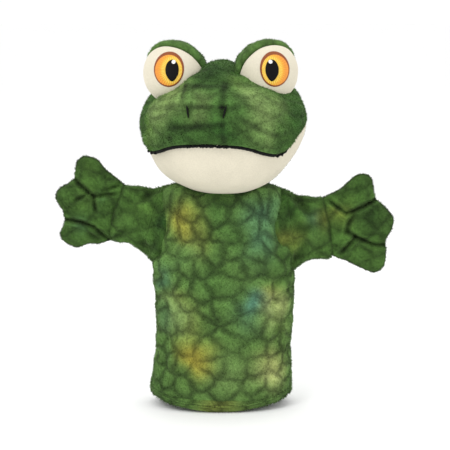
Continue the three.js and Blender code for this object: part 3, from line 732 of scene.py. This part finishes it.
# Half heights above and below the arm's middle line, and half depths, by distance from the shoulder.
SLEEVE_TOP = {
    "left": [(-12, 31), (-4, 32), (2, 30), (10, 26.6), (20, 24), (28, 22.4), (36, 22)],
    "right": [(-12, 31), (-4, 34), (6, 31.5), (15, 26.8), (24, 23.4), (30, 23), (36, 23)],
}
SLEEVE_BOTTOM = {
    "left": [(-12, 22), (-4, 26.6), (6, 22), (17, 18.5), (26, 18.9), (36, 19.5)],
    "right": [(-12, 22), (-4, 29), (6, 26.5), (10, 24), (19, 22), (26, 22.4), (36, 23)],
}
SLEEVE_DEPTH = [(-12, 14), (-4, 16.5), (4, 13.5), (10, 12.5), (20, 11.5), (33, 10), (36, 9.5)]
SLEEVE_FOLDS = {
    "left": [
        (17, 16, 8, 27, 2.6, 2.4),
        (24, 20, 10, 20, 3.4, 1.6),
        (29, -17, 21, -7, 2.2, 1.8),
        (2, -20, 12, -8, 3.2, 1.6),
        (4, 2, 16, 6, 3.4, 0.9),
    ],
    "right": [
        (11, 27, 21, 14, 3.0, 3.0),
        (5, 22, 12, 4, 3.0, 1.4),
        (3, 5, 24, 3, 3.0, 1.2),
        (2, -22, 14, -10, 3.0, 1.8),
        (26, -4, 30, 14, 2.6, 1.0),
    ],
}
LIMB_DYES = {
    "left": [
        (-95, -4, 171, 8, "lime", 0.75),
        (-104, -4, 176, 5, "lime", 0.5),
        (-98, -4, 180, 4, "deep", 0.4),
        (-86, -4, 169, 5, "deep", 0.5),
        (-103, -4, 152, 8, "lime", 0.75),
        (-117, -4, 157, 6, "leaf", 0.6),
        (-90, -4, 151, 5, "teal", 0.5),
        (-82, -4, 154, 5, "deep", 0.9),
        (-83, -4, 142, 5, "deep", 0.8),
        (-104, -4, 133, 8, "teal", 0.35),
        (-92, -4, 128, 5, "deep", 0.7),
        (-116, -4, 128, 5, "lime", 0.5),
        (-87, -4, 133, 4, "lime", 0.7),
        (-67, -6, 152, 6, "lime", 0.5),
        (-59, -6, 147, 6, "lime", 0.55),
        (-74, -4, 139, 6, "leaf", 0.6),
        (-78, -4, 128, 5, "lime", 0.6),
        (-67, -4, 125, 5, "leaf", 0.5),
        (-58, -6, 158, 5, "deep", 0.6),
        (-49, -6, 135, 7, "deep", 0.85),
        (-50, -6, 119, 9, "night", 0.75),
    ],
    "right": [
        (48, -6, 127, 9, "olive", 0.6),
        (47, -6, 150, 12, "deep", 0.7),
        (58, -6, 152, 5, "deep", 0.6),
        (70, -4, 140, 8, "teal", 0.35),
        (60, -4, 138, 6, "lime", 0.4),
        (68, -4, 122, 9, "leaf", 0.5),
        (78, -4, 130, 5, "lime", 0.4),
        (84, -4, 141, 9, "ochre", 1.0),
        (91, -4, 159, 6, "olive", 0.7),
        (100, -4, 158, 5, "lime", 0.5),
        (107, -4, 140, 11, "night", 0.75),
        (98, -4, 163, 8, "deep", 0.6),
        (93, -4, 128, 6, "lime", 0.4),
        (119, -4, 130, 6, "lime", 0.5),
        (92, -4, 116, 6, "deep", 0.7),
        (106, -4, 116, 7, "deep", 0.4),
        (113, -4, 108, 7, "lime", 0.5),
    ],
}


def sleeve_grid(side, low, high, rows, inset=0.0, cols=112):
    """An oval tube along the arm: across = top or bottom height * sin, forward = half depth * cos."""
    x = np.linspace(low, high, rows)[:, None]
    a = np.linspace(-0.5 * math.pi, 1.5 * math.pi, cols, endpoint=False)[None]
    sin, cos = np.sin(a), np.cos(a)
    tall = np.where(sin > 0, curve(SLEEVE_TOP[side], x), curve(SLEEVE_BOTTOM[side], x)) - inset
    across = tall * squared(sin, 0.92)
    forward = (curve(SLEEVE_DEPTH, x) - inset) * squared(cos, 0.92)
    wrist = 2.6 * ease((x - 30.5) / 4)  # the cuff turns in at the wrist seam
    P = np.stack([x + 0 * a, across - wrist * sin, forward - wrist * cos], -1)
    n = -normals(P, True)
    soft = ease((x + 12) / 8) * ease((34 - x) / 6)
    seed = 31 if side == "left" else 41
    P = P + n * (soft * (0.8 * lumps(P, 13, seed) + 0.4 * lumps(P, 6, seed + 1)))[..., None]
    P = fold(P, n, P[..., [0, 1]], SLEEVE_FOLDS[side], ease(np.abs(cos) * 3) * soft)
    return from_arm(side, P), np.stack(np.broadcast_arrays(x, 22 * a), -1)


def facing(side, P):
    """A grid that faces outwards: the arms' frames are mirrored, so the right one is run backwards."""
    return P[:, ::-1] if side == "right" else P


def arms():
    for side in SIDES:
        origin, along = arm_frame(side)[:2]
        dyes = LIMB_DYES[side]
        parts = [
            ("raglan", -12, 6, 20, "torso", f"{side}_shoulder", -8, 6, (0.15, 0.0195)),
            ("sleeve", 6, 34, 30, f"{side}_shoulder", f"{side}_arm", 6, 18, (0.135, 0.028)),
        ]
        for part, low, high, rows, first, second, begin, end, flat_size in parts:
            P, flat = (facing(side, grid) for grid in sleeve_grid(side, low, high, rows))
            # painted shade and highlight: the sleeve is darker in its creases, a little lighter on the ridges
            # beside them, and darker in a band at the wrist seam
            painted_crease_shade = creases(in_arm(side, P)[..., :2], SLEEVE_FOLDS[side]) / 6
            dye_and_shade = dyed_and_shaded(P, "moss", dyes) * (1 - painted_crease_shade - 0.5 * bell(flat[..., 0] - 34, 1.6))[..., None]
            faces = quads(*P.shape[:2], True)
            cloth = piece(f"{side}_{part}_cloth", P, faces, LIMB_PLUSH, dye_and_shade, flat, thick=PLUSH)
            if part == "sleeve":
                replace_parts(cloth, f"{side}_sleeve_front", f"{side}_sleeve_back")
            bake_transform(cloth)
            fur = pile(f"{side}_{part}_pile", P, True, LIMB_PLUSH, dye_and_shade, flat, comb=along, seed=51)
            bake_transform(fur)
        P = facing(side, sleeve_grid(side, 16, 33, 12, inset=PLUSH + 1.2, cols=72)[0])
        inner = piece(f"{side}_arm_lining_cloth", P, quads(*P.shape[:2], True), COTTON, thick=LINING)
        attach(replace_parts(inner, f"{side}_arm_lining"), f"{side}_arm")
        binding(side)
        hand(side)


def binding(side):
    """Tape round the armhole: a flat oval ring."""
    a = np.linspace(0, 2 * math.pi, 72, endpoint=False)[None]
    t = np.linspace(0, 2 * math.pi, 13)[:, None]
    wide = 1.4 * np.cos(t)
    out = 0.6 * np.sin(t)
    P = np.stack([wide + 0 * a, (TAPE_HALF[0] + out) * np.sin(a), (TAPE_HALF[1] + out) * np.cos(a)], -1)
    tape = piece(f"{side}_armhole_tape", from_arm(side, facing(side, P)[::-1]), quads(13, 72, True), TAPE)
    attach(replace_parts(tape, f"{side}_armhole_binding"), f"{side}_shoulder")


# Each hand's outline as (along, across) from its wrist seam, from below the sleeve round by the fingers.
HAND_OUTLINE = {
    "left": [
        (-11, -14), (-1, -20.5), (6.5, -25), (13.5, -27), (19.5, -31.5), (24.5, -32), (31, -30.5), (35, -27),
        (35.5, -23), (34.5, -18), (35, -14), (38.5, -8), (42, -5), (45, -1.5), (46, 3.5), (44, 7.5),
        (39.5, 12), (36, 17.5), (37, 22.5), (37.5, 28.5), (35, 33.5), (31, 35), (23.5, 34.5), (16, 29.5),
        (5.5, 25), (-0.5, 22), (-11, 16), (-13, 0),
    ],
    "right": [
        (-11, -14), (2.5, -22.5), (11.5, -27.5), (17, -31.5), (25, -36.5), (30, -38.5), (35, -37),
        (38.5, -32.5), (40.5, -23), (40.5, -18), (42.5, -14), (46.5, -9), (49, -2), (48, 2.5), (43, 10),
        (38, 16), (37.5, 25), (37, 31), (33.5, 34.5), (26.5, 35), (20, 31), (12, 26), (3, 23), (-11, 16),
        (-13, 0),
    ],
}
# The stitched valleys between the fingers and the puckers at the wrist.
HAND_FOLDS = {
    "left": [
        (36, 16.5, 24, 11, 1.5, 3.6),
        (24, 11, 18.5, 9, 1.5, 3.4),
        (18.5, 9, 3.5, 15.5, 1.5, 2.8),
        (23.5, 9, 31, 2.5, 1.4, 2.4),
        (18.5, 8.5, 14.5, -1.5, 1.4, 2.4),
        (13, 14.5, 3.5, 21, 1.6, 2.4),
        (35, -14, 22.5, -12, 1.5, 3.6),
        (22.5, -12, 13, -13, 1.5, 3.4),
        (13, -13, -1, -20, 1.5, 3.2),
        (14, -19, 3, -21.5, 1.8, 1.4),
    ],
    "right": [
        (38, 15.5, 29, 12.5, 1.5, 3.8),
        (29, 12.5, 15, 9, 1.5, 3.6),
        (15, 9, 3.5, 20, 1.5, 3.0),
        (20.5, 8, 16, 2, 1.8, 2.2),
        (16, 2, 13.5, -4.5, 1.8, 2.0),
        (13.5, -4.5, 19, -8.5, 1.7, 2.2),
        (40, -19, 31, -16.5, 1.5, 3.8),
        (31, -16.5, 19, -9, 1.5, 3.6),
        (19, -9, 7, -20, 1.7, 3.0),
    ],
}
HAND_CENTRE = np.array([16.0, 1.5])
HAND_HALF = 8.6


def outline(side, count):
    """The closed hand outline as distances from its centre, sampled at equal angles."""
    knots = np.array(HAND_OUTLINE[side], float) - HAND_CENTRE
    smooth = []
    for k in range(len(knots)):
        p0, p1, p2, p3 = (knots[(k + s) % len(knots)] for s in (-1, 0, 1, 2))
        t = np.linspace(0, 1, 16, endpoint=False)[:, None]
        smooth.append(0.5 * (2 * p1 + (p2 - p0) * t + (2 * p0 - 5 * p1 + 4 * p2 - p3) * t**2
                             + (3 * p1 - p0 - 3 * p2 + p3) * t**3))
    line = np.concatenate(smooth)
    angle = np.arctan2(line[:, 1], line[:, 0])
    order = np.argsort(angle)
    want = np.linspace(-math.pi, math.pi, count, endpoint=False)
    return want, np.interp(want, angle[order], np.linalg.norm(line, axis=1)[order], period=2 * math.pi)


def hand(side):
    """A flat stuffed pad in two halves: forward = H (1 - r^2.4)^0.6 over the outline, with stitched valleys.

    r is 0 at the middle and 1 at the outline. A flat sheet closes each half where it meets the other.
    """
    joint = joint_point(f"{side}_hand_bend")
    angle, reach = outline(side, 192)
    r = np.concatenate([np.linspace(0, 0.9, 44), 1 - 0.1 * np.linspace(1, 0, 14)[1:] ** 1.8])[:, None]
    ray = np.stack([reach * np.cos(angle), reach * np.sin(angle)], -1)
    flat = HAND_CENTRE + r[..., None] * ray
    height = HAND_HALF * (1 - r**2.4) ** 0.6
    origin, along = arm_frame(side)[:2]
    offset = (joint - origin) @ along
    for part, sign in (("front", 1), ("back", -1)):
        P = np.stack(np.broadcast_arrays(flat[..., 0], flat[..., 1], sign * (height + 0.15)), -1)
        n = normals(P, True)
        n = n * np.sign(n[..., 2:3] * sign + 1e-9)
        inside = ease((1 - r) / 0.08)
        seed = 61 if side == "left" else 71
        P = P + n * (inside * (0.8 * lumps(P, 12, seed) + 0.4 * lumps(P, 5, seed + 1)))[..., None]
        P = fold(P, n, P[..., :2], HAND_FOLDS[side], ease((1 - r) / 0.04) + 0 * P[..., 0])
        P[..., 2] = sign * np.maximum(sign * P[..., 2], 0.15)
        inner = np.stack(np.broadcast_arrays(flat[..., 0], flat[..., 1], sign * 0.1), -1)[::-1][6::6]
        whole = np.concatenate([P, inner, np.broadcast_to([*HAND_CENTRE, sign * 0.1], P[:1].shape)])
        prints = whole[..., :2]
        whole = whole + [offset, 0, 0]
        if (sign > 0) != (side == "left"):
            whole, prints = whole[:, ::-1], prints[:, ::-1]
        whole = from_arm(side, whole)
        P, skin_print = whole[: len(r)], prints[: len(r)]
        rim = np.concatenate([r, np.ones((len(whole) - len(r), 1))])
        # painted shade and highlight: darker in the stitched creases, where the pile is pressed down and
        # shadowed, and a little lighter on the puffs beside them; also darker towards the rim seam and
        # towards the wrist, where the hand goes into the sleeve
        painted_crease_shade = np.clip(creases(prints, HAND_FOLDS[side]) / 3, -0.25, 1)
        seam_shade = 1 - 0.6 * ease((rim - 0.95) / 0.04)
        wrist_shade = 1 - 0.5 * ease((2 - prints[..., 0]) / 2)
        dark = seam_shade * (1 - 0.6 * painted_crease_shade) * wrist_shade
        dye_and_shade = dyed_and_shaded(whole, "moss", LIMB_DYES[side]) * dark[..., None]
        faces = quads(*whole.shape[:2], True)
        skin = piece(f"{side}_hand_{part}_skin", whole, faces, LIMB_PLUSH, dye_and_shade, prints)
        replaced = [f"{side}_hand_{part}"] + ([f"{side}_hand_stuffing"] if part == "front" else [])
        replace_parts(skin, *replaced)
        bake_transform(skin)
        pile_name = f"{side}_hand_{part}_pile"
        fur = pile(pile_name, P, True, LIMB_PLUSH, dye_and_shade[: len(r)], skin_print, comb=along, seed=81)
        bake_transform(fur)


# ---- Head ----------------------------------------------------------------------------------------

# Height of the seam between snout and chin above the head's centre, by degrees from straight ahead.
SEAM = [(0, -15), (25, -17), (45, -22), (55, -23.5), (62, -22.5), (68, -19), (74, -14.5), (85, -9),
        (101, -1), (180, 4)]
SMILE_TURN = 3  # degrees that the mouth's middle lies round from the nose
MOUTH_END = 68  # degrees from the mouth's middle
NOSTRIL = (11.75, 3.6)  # foot of a nostril stitch: beside the snout's middle, and above the head's centre
NOSE = 3.0  # the snout's middle, to the side of straight ahead
BACK_SEAM = 104
# Soft patches on the head as (x, y, z, radius, colour name, strength) in its own frame: the cloth's own
# colour patches, with painted shade down the middle of the face and between and under the eyes, and painted
# highlights on the muzzle's front and cheeks
HEAD_DYES_AND_SHADING = [
    (3, -30, 37, 15, "night", 0.75),
    (8, -24, 37, 10, "deep", 0.5),
    (0, -53, -1, 10, "night", 0.6),
    (16, -52, -4, 9, "deep", 0.75),
    (12, -45, 26, 7, "deep", 0.7),
    (-16, -47, 24, 5, "deep", 0.7),
    (-2, -51, 18, 8, "light", 0.5),
    (-2, -54, 5, 8, "light", 0.35),
    (-30, -42, 24, 13, "light", 1.0),
    (-33, -46, 8, 15, "light", 0.75),
    (-41, -41, 4, 12, "light", 0.6),
    (-48, -34, -9, 9, "lime", 0.5),
    (-22, -51, -12, 9, "deep", 0.3),
    (-15, -53, -5, 8, "deep", 0.2),
    (-31, -42, 26, 10, "pale", 0.5),
    (22, -32, 32, 10, "lime", 0.75),
    (32, -38, 22, 12, "light", 0.85),
    (42, -37, 8, 15, "light", 0.85),
    (38, -40, -10, 10, "light", 0.5),
    (59, -8, 4, 12, "deep", 0.65),
    (52, -18, 24, 10, "fern", 0.6),
    (-20, 44, 16, 18, "light", 0.5),
    (24, 40, -8, 16, "olive", 0.5),
    (0, 44, -26, 16, "deep", 0.6),
]
# Dark edges of the snout's broad scales, as (x, z) lines with a width and a strength.
HEAD_MARKS = [
    (-16, 25, 14, 25, 1.9, 0.65),
    (-18, 12, 25, 11, 1.6, 0.5),
    (-28, -4, 19, 0, 2.2, 0.6),
    (-16, 27, -15, 15, 2.0, 0.6),
    (13, 27, 15, 2, 2.4, 0.6),
    (15, 0, 16, -16, 2.2, 0.5),
    (25, 5, 47, -9, 1.8, 0.5),
    (47, -9, 55, -8, 1.6, 0.4),
    (-25, -7, -21, -16, 1.8, 0.4),
    (-42, 8, -18, 12, 1.8, 0.4),
]


def outward(P):
    """Unit directions out of the head: those of an ellipsoid of its mean size."""
    out = P / HEAD_MEAN**2
    return out / np.linalg.norm(out, axis=-1, keepdims=True)


def head_surface(azimuth, elevation):
    """The stuffed head in its own frame: four quarter ellipsoids, a snout, an overhanging lip and lumps."""
    cos_e = np.cos(elevation)
    d = np.stack([np.sin(azimuth) * cos_e, -np.cos(azimuth) * cos_e, np.sin(elevation) + 0 * azimuth], -1)
    depth = np.where(d[..., 1] < 0, HEAD_HALF[1], HEAD_BACK)
    height = np.where(d[..., 2] > 0, HEAD_HALF[2], HEAD_CHIN)
    P = np.stack([d[..., 0] * HEAD_HALF[0], d[..., 1] * depth, d[..., 2] * height], -1)
    out = outward(P)
    away = np.degrees(np.abs((azimuth + np.pi) % (2 * np.pi) - np.pi))
    above = P[..., 2] - seam_height(azimuth)
    front = ease((BACK_SEAM - 6 - away) / 30)
    z = P[..., 2]
    lip = 2.6 * bell(above - 7, 8) * (above > 0) - 1.4 * bell(above + 4, 7) * (above < 0)
    snout = 3.0 * bell(away, 42) * bell(z - 4, 16)
    brow = -4.2 * bell(away - 36, 18) * bell(z - 26, 9)
    pinch = -9.0 * bell(away - 72, 21) * bell(z - 22, 11) - 4.4 * bell(away - 68, 21) * bell(z - 3, 24)
    pinch = pinch * np.where(azimuth < 0, 1.0, 0.25)  # the left cheek is pulled in under its eye
    jowl = 2.2 * bell(away - 107, 16) * bell(z, 26)
    gap = -1.3 * bell(above, 1.5) * front
    beside = np.abs(P[..., 0])
    crown = 1.2 * bell(beside, 8) * ease((z - 27) / 12) - 4.4 * bell(beside - 17, 9) * ease((z - 31) / 8)
    chin = 3.0 * ease((-z - 26) / 18)
    nape = -5.0 * ease((-z - 14) / 20) * ease((away - 112) / 30)  # room for the head to nod back
    push = (lip + snout + brow) * front + gap + pinch + jowl + crown + chin + nape
    push = push + 0.9 * lumps(P, 22, 91) + 0.45 * lumps(P, 9, 92)
    foot, top = NOSTRIL[1], NOSTRIL[1] + 7
    dimples = [(NOSE + s * NOSTRIL[0], foot, NOSE + s * (NOSTRIL[0] + 1.4), top, 2.4, 1.4) for s in (-1, 1)]
    P = fold(P + out * push[..., None], out, P[..., [0, 2]], dimples, ease(-P[..., 1] / 8))
    seam_back = bell(away - BACK_SEAM, 1.6)
    return P - out * (1.2 * seam_back)[..., None]


def seam_height(azimuth):
    """Height above the head's centre of the seam between snout and chin."""
    return curve(SEAM, np.degrees(np.abs(wrapped(azimuth - math.radians(SMILE_TURN)))))


def seam_elevation(azimuth):
    z = seam_height(azimuth)
    return np.arcsin(z / np.where(z > 0, HEAD_HALF[2], HEAD_CHIN))


def to_head(points):
    return spin(points, HEAD_TURN) + HEAD


def head():
    limit = math.radians(BACK_SEAM)
    half = math.pi / 2
    front = np.linspace(-limit, limit, 150)[None]
    behind = np.linspace(limit, 2 * math.pi - limit, 90)[None]
    up = np.linspace(0, 1, 80)[:, None]
    patches = [(*to_head(np.array([x, y, z], float)), r, dye_and_shade, s) for x, y, z, r, dye_and_shade, s in HEAD_DYES_AND_SHADING]
    seam = seam_elevation(front)
    crown = seam + up * (half - seam)
    under = -half + up * (half + seam)
    whole = -half + up * 2 * half + 0 * behind
    pieces = [
        ("snout_skin", front, crown, HEAD_PLUSH, ["snout_panel", "head_stuffing"], "green_plush"),
        ("chin_skin", front, under, CREAM, ["chin_panel"], "cream_plush"),
        ("head_back_skin", behind, whole, HEAD_PLUSH, ["head_back_panel"], "green_plush"),
    ]
    for name, azimuth, elevation, material, replaced, finish in pieces:
        surface = head_surface(azimuth + 0 * elevation, elevation)
        P = to_head(surface)
        facing_front = ease(-surface[..., 1] / 10)
        marks = creases(surface[..., [0, 2]], HEAD_MARKS) * facing_front
        dye_and_shade = dyed_and_shaded(P, "fern", patches) * (1 - marks)[..., None]
        direction = surface / np.linalg.norm(surface, axis=-1, keepdims=True)
        flat = unrolled(direction, basis(180 if "back" in name else 0, 10), 54)
        skin = piece(name, P, quads(*P.shape[:2], False), material, dye_and_shade, flat, thick=PLUSH)
        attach(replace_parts(skin, *replaced), "head")
        if material is HEAD_PLUSH:
            comb = np.array([0, -0.3, -1.0])
            rows, cols = P.shape[:2]
            clear = np.ones((rows - 1, cols - 1), bool)
            clear[:2] = "back" in name  # none over the mouth's stitching
            pile_name = name.replace("skin", "pile")
            fur = pile(pile_name, P, False, material, dye_and_shade, flat, comb=comb, keep=clear, seed=95)
            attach(fur, "head")
    mouth()
    for side, sign in SIDES.items():
        nostril(side, sign)
        eye(side, sign)
    finger_tube()


def mouth():
    """A rolled line of black thread: a round section carried along the seam, thin at both ends."""
    azimuth = np.radians(SMILE_TURN + np.linspace(-MOUTH_END, MOUTH_END, 161))
    line = head_surface(azimuth, seam_elevation(azimuth))
    forward = np.gradient(line, axis=0)
    forward /= np.linalg.norm(forward, axis=1, keepdims=True)
    out = outward(line)
    up = np.cross(out, forward)
    t = np.linspace(0, 2 * math.pi, 12, endpoint=False)[None, :, None]
    ends = ease((MOUTH_END - np.abs(np.degrees(azimuth) - SMILE_TURN)) / 3)
    twist = 1 + 0.12 * np.sin(np.arange(161) * 1.9)
    radius = (1.15 * ends * twist)[:, None, None]
    centre = line + 1.6 * out
    P = centre[:, None] + radius * (np.cos(t) * out[:, None] - 1.15 * np.sin(t) * up[:, None])
    cord = piece("mouth_stitching", to_head(P), quads(161, 12, True), BLACK)
    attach(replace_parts(cord, "mouth_line"), "head")


def nostril(side, sign):
    """One satin stitch: a flat spindle laid on the snout."""
    s = np.linspace(0, 1, 25)
    x = NOSE + sign * (NOSTRIL[0] + 1.8 * s)
    z = NOSTRIL[1] + 8.2 * s
    azimuth = np.arcsin(x / (HEAD_HALF[0] * np.sqrt(1 - (z / HEAD_HALF[2]) ** 2)))
    line = head_surface(azimuth, np.arcsin(z / HEAD_HALF[2]))
    out = outward(line)
    across = np.cross(np.gradient(line, axis=0), out)
    across /= np.linalg.norm(across, axis=1, keepdims=True)
    t = np.linspace(0, 2 * math.pi, 10, endpoint=False)[None, :, None]
    wide = (0.7 * np.sqrt(np.sin(math.pi * s)))[:, None, None]
    P = (line + 1.3 * out)[:, None] + wide * (0.8 * np.cos(t) * out[:, None] + np.sin(t) * across[:, None])
    stitch = piece(f"{side}_nostril_stitch", to_head(P), quads(25, 10, True), BLACK)
    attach(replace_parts(stitch, f"{side}_nostril"), "head")


def finger_tube():
    """The cloth tube that takes the wearer's finger, closed at its top."""
    low, high = cad_box("finger_tube")
    middle = (low + high) / 2
    a = np.linspace(0, 2 * math.pi, 64, endpoint=False)[None]
    z = np.linspace(low[2] - 4, high[2], 40)[:, None]
    closing = np.sqrt(1 - np.clip((z - high[2] + 10) / 10, 0, 1) ** 2)
    radius = (high[0] - low[0]) / 2 * closing + 0.3 * np.cos(12 * a)
    radius = np.where(z >= high[2] - 1e-6, 0, radius)
    P = np.stack([radius * np.cos(a) + middle[0], radius * np.sin(a) + middle[1], z + 0 * a], -1)
    tube = piece("finger_tube_cloth", P, quads(40, 64, True), COTTON, thick=LINING)
    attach(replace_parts(tube, "finger_tube"), "head")


# ---- Eyes ----------------------------------------------------------------------------------------

IRIS_HALF = (10.7, 12.4)  # half width, half height
PUPIL_HALF = (4.6, 7.8)
PUPIL = (2.7, 0.9)  # inwards and down from the iris's middle
GLINT_RADIUS = 1.35
GLINT = (0.9, 5.4)  # inwards and up from the pupil's middle
THREAD_HEIGHTS = (0.55, 0.95, 1.25)  # iris, pupil and glint above the ball


def eye_centre(side, sign):
    """The middle of the ball: one radius in from the outermost, foremost and highest sides of its box."""
    boxes = [cad_box(f"{side}_eye_{part}") for part in ("hood", "face")]
    low = np.min([b[0] for b in boxes], 0)
    high = np.max([b[1] for b in boxes], 0)
    x = low[0] + EYE_RADIUS if sign < 0 else high[0] - EYE_RADIUS
    return np.array([x, low[1] + EYE_RADIUS, high[2] - EYE_RADIUS]) + EYE_SETTLE[side]


def basis(azimuth, elevation):
    """(right, up, out) of a direction in degrees, where azimuth 0 looks along -Y and positive is to +X."""
    a, e = math.radians(azimuth), math.radians(elevation)
    out = np.array([math.sin(a) * math.cos(e), -math.cos(a) * math.cos(e), math.sin(e)])
    right = np.array([math.cos(a), math.sin(a), 0.0])
    return right, np.cross(out, right), out


def cap(centre, axes, radius, inner, outer, rows, cols, swell):
    """Part of a ball round an axis, between two angles from it: centre + (radius + swell) * direction."""
    right, up, out = axes
    angle = np.linspace(inner, outer, rows)[:, None]
    turn = np.linspace(0, 2 * math.pi, cols, endpoint=False)[None]
    d = (
        (np.sin(angle) * np.cos(turn))[..., None] * right
        + (np.sin(angle) * np.sin(turn))[..., None] * up
        + (np.cos(angle) + 0 * turn)[..., None] * out
    )
    return centre + d * (radius + swell)[..., None], d


def eye(side, sign):
    centre = eye_centre(side, sign)
    face = basis(*FACE[side][:2])
    edge = math.radians(FACE[side][2])
    angle = np.linspace(0, edge, 40)[:, None]
    dent = -1.6 * ease((angle - edge + 0.06) / 0.06)
    P, d = cap(centre, face, EYE_RADIUS, 0, edge, 40, 96, swell=dent + np.zeros((1, 96)))
    P = P + d * (0.3 * lumps(P, 9, 101))[..., None]
    P = P[:, ::-1]
    skin = piece(f"{side}_eye_face_skin", P, quads(40, 96, True), CREAM, thick=PLUSH * 0.7)
    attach(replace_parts(skin, f"{side}_eye_face", f"{side}_eye_stuffing"), "head")
    angle = np.linspace(edge, math.pi, 50)[:, None]
    roll = 0.4 + 1.5 * bell(angle - edge - 0.16, 0.14) - 2.2 * bell(angle - edge, 0.03)
    P, d = cap(centre, face, EYE_RADIUS, edge, math.pi, 50, 96, swell=roll + np.zeros((1, 96)))
    P = P + d * (0.7 * lumps(P, 8, 102) + 0.4 * lumps(P, 4, 103))[..., None]
    P = P[:, ::-1]
    # painted shade: a dark patch on the inner, lower side of the hood, where it meets the head
    dark = [(*(centre - 8 * face[2] - sign * np.array([14.0, 0, 8])), 16, "deep", 0.9)]
    dye_and_shade = dyed_and_shaded(P, "leaf", dark)
    direction = (P - centre) / np.linalg.norm(P - centre, axis=-1, keepdims=True)
    flat = unrolled(direction, basis(180, 40), EYE_RADIUS)
    hood = piece(f"{side}_eye_hood_skin", P, quads(50, 96, True), HEAD_PLUSH, dye_and_shade, flat, thick=PLUSH * 0.7)
    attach(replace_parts(hood, f"{side}_eye_hood"), "head")
    fur = pile(f"{side}_eye_hood_pile", P, True, HEAD_PLUSH, dye_and_shade, flat, length=1.2, seed=105)
    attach(fur, "head")
    embroidery(side, sign, centre)


def embroidery(side, sign, centre):
    """Iris, pupil and glint: domed discs that follow the ball, each one thread higher than the one below."""
    low, high = cad_box(f"{side}_iris_rim")
    gaze = (low + high) / 2 - (centre - EYE_SETTLE[side])
    azimuth = math.degrees(math.atan2(gaze[0], -gaze[1])) + GAZE[side][0]
    elevation = math.degrees(math.atan2(gaze[2], math.hypot(gaze[0], gaze[1]))) + GAZE[side][1]
    right, up, out = basis(azimuth, elevation)

    def disc(name, x, z, wide, tall, raise_by, material, replaced, slot, shape=None):
        r = np.concatenate([np.linspace(0, 0.94, 26), [0.98, 1.0, 1.0, 0.0]])[:, None]
        lift = np.concatenate([np.full(26, 1.0), [0.8, 0.3, -0.6, -0.6]])[:, None]
        t = np.linspace(0, 2 * math.pi, 120, endpoint=False)[None]
        u, v = np.cos(t), np.sin(t)
        if shape:
            u, v = shape(u, v)
        px, pz = x + wide * r * u, z + tall * r * v
        reach = EYE_RADIUS + 0.1 + raise_by * lift
        depth = np.sqrt(np.maximum(EYE_RADIUS**2 - px**2 - pz**2, 1))
        d = px[..., None] * right + pz[..., None] * up + depth[..., None] * out
        d /= np.linalg.norm(d, axis=-1, keepdims=True)
        P = centre + d * (reach + 0 * px)[..., None]
        cx, cz = -sign * PUPIL[0], -PUPIL[1]
        eye_out = np.hypot((px - cx) / 10.2, (pz - cz) / 12.6)
        eye_angle = np.arctan2(pz - cz, px - cx)
        eye_rim = np.hypot(px / (IRIS_HALF[0] - 1.2), (pz + 0.8) / (IRIS_HALF[1] - 1.9))
        P = P[:, ::-1]
        marks = np.stack([eye_out, eye_angle, eye_rim], -1)[:, ::-1].reshape(-1, 3)
        made = piece(name, P, quads(*P.shape[:2], True), material, eye=marks)
        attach(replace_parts(made, *replaced), "head")

    def pointed(u, v):
        """A pupil: wider at the top, drawn to a point below."""
        return u * (1 - 0.2 * ease(-v) ** 2), np.where(v < 0, v, v * 0.92)

    iris, pupil, glint = THREAD_HEIGHTS
    disc(f"{side}_iris_stitching", 0, 0, *IRIS_HALF, iris, IRIS, [f"{side}_iris_rim", f"{side}_iris"],
         "amber_thread")
    disc(f"{side}_pupil_stitching", -sign * PUPIL[0], -PUPIL[1], *PUPIL_HALF, pupil, BLACK,
         [f"{side}_pupil"], "black_thread", pointed)
    disc(f"{side}_glint_stitching", -sign * (PUPIL[0] + GLINT[0]), -PUPIL[1] + GLINT[1], GLINT_RADIUS,
         GLINT_RADIUS, glint, WHITE, [f"{side}_eye_glint"], "white_thread")


# ---- Stage ---------------------------------------------------------------------------------------


def stage():
    """A pale floor, two soft boxes and an even sky."""
    camera = bpy.data.objects.new("camera", bpy.data.cameras.new("camera"))
    bpy.context.scene.collection.objects.link(camera)
    camera.data.sensor_width = 36
    distance, elevation = 1.2, math.radians(8)
    width_seen = 0.3267
    camera.data.lens = 36 * distance / width_seen
    aim = np.array([0.0021, 0.0, 0.1345])
    place = aim + distance * np.array([0, -math.cos(elevation), math.sin(elevation)])
    camera.location = place
    camera.rotation_euler = (math.pi / 2 - elevation, 0, 0)
    bpy.context.scene.camera = camera
    bpy.context.scene.view_settings.view_transform = "Standard"
    floor_mesh = bpy.data.meshes.new("floor")
    half, z = 15, -0.0006
    corners = [(-half, -half, z), (half, -half, z), (half, half, z), (-half, half, z)]
    floor_mesh.from_pydata(corners, [], [(0, 1, 2, 3)])
    floor = bpy.data.objects.new("floor", floor_mesh)
    bpy.context.scene.collection.objects.link(floor)
    paint, _, shader = start("pale_floor", 0.8)
    shader.inputs["Base Color"].default_value = (*srgb("#fcfcfc"), 1)
    floor_mesh.materials.append(paint)
    for name, at, power, size in (
        ("key", (-0.7, -1.1, 1.2), 8, 0.8),
        ("fill", (1.1, -0.9, 0.6), 2, 1.0),
        ("top", (0.1, 0.3, 1.5), 4, 1.0),
    ):
        light = bpy.data.lights.new(name, "AREA")
        light.energy, light.size = power, size
        lamp = bpy.data.objects.new(name, light)
        bpy.context.scene.collection.objects.link(lamp)
        lamp.location = at
        toward = aim - np.array(at)
        lamp.rotation_euler = (
            math.atan2(math.hypot(toward[0], toward[1]), -toward[2]),
            0,
            math.atan2(toward[1], toward[0]) - math.pi / 2,
        )
    world = bpy.data.worlds.new("sky")
    world.use_nodes = True
    world.node_tree.nodes["Background"].inputs[0].default_value = (1, 1, 1, 1)
    world.node_tree.nodes["Background"].inputs[1].default_value = 1.03
    bpy.context.scene.world = world


stage()
body()
neck()
arms()
head()
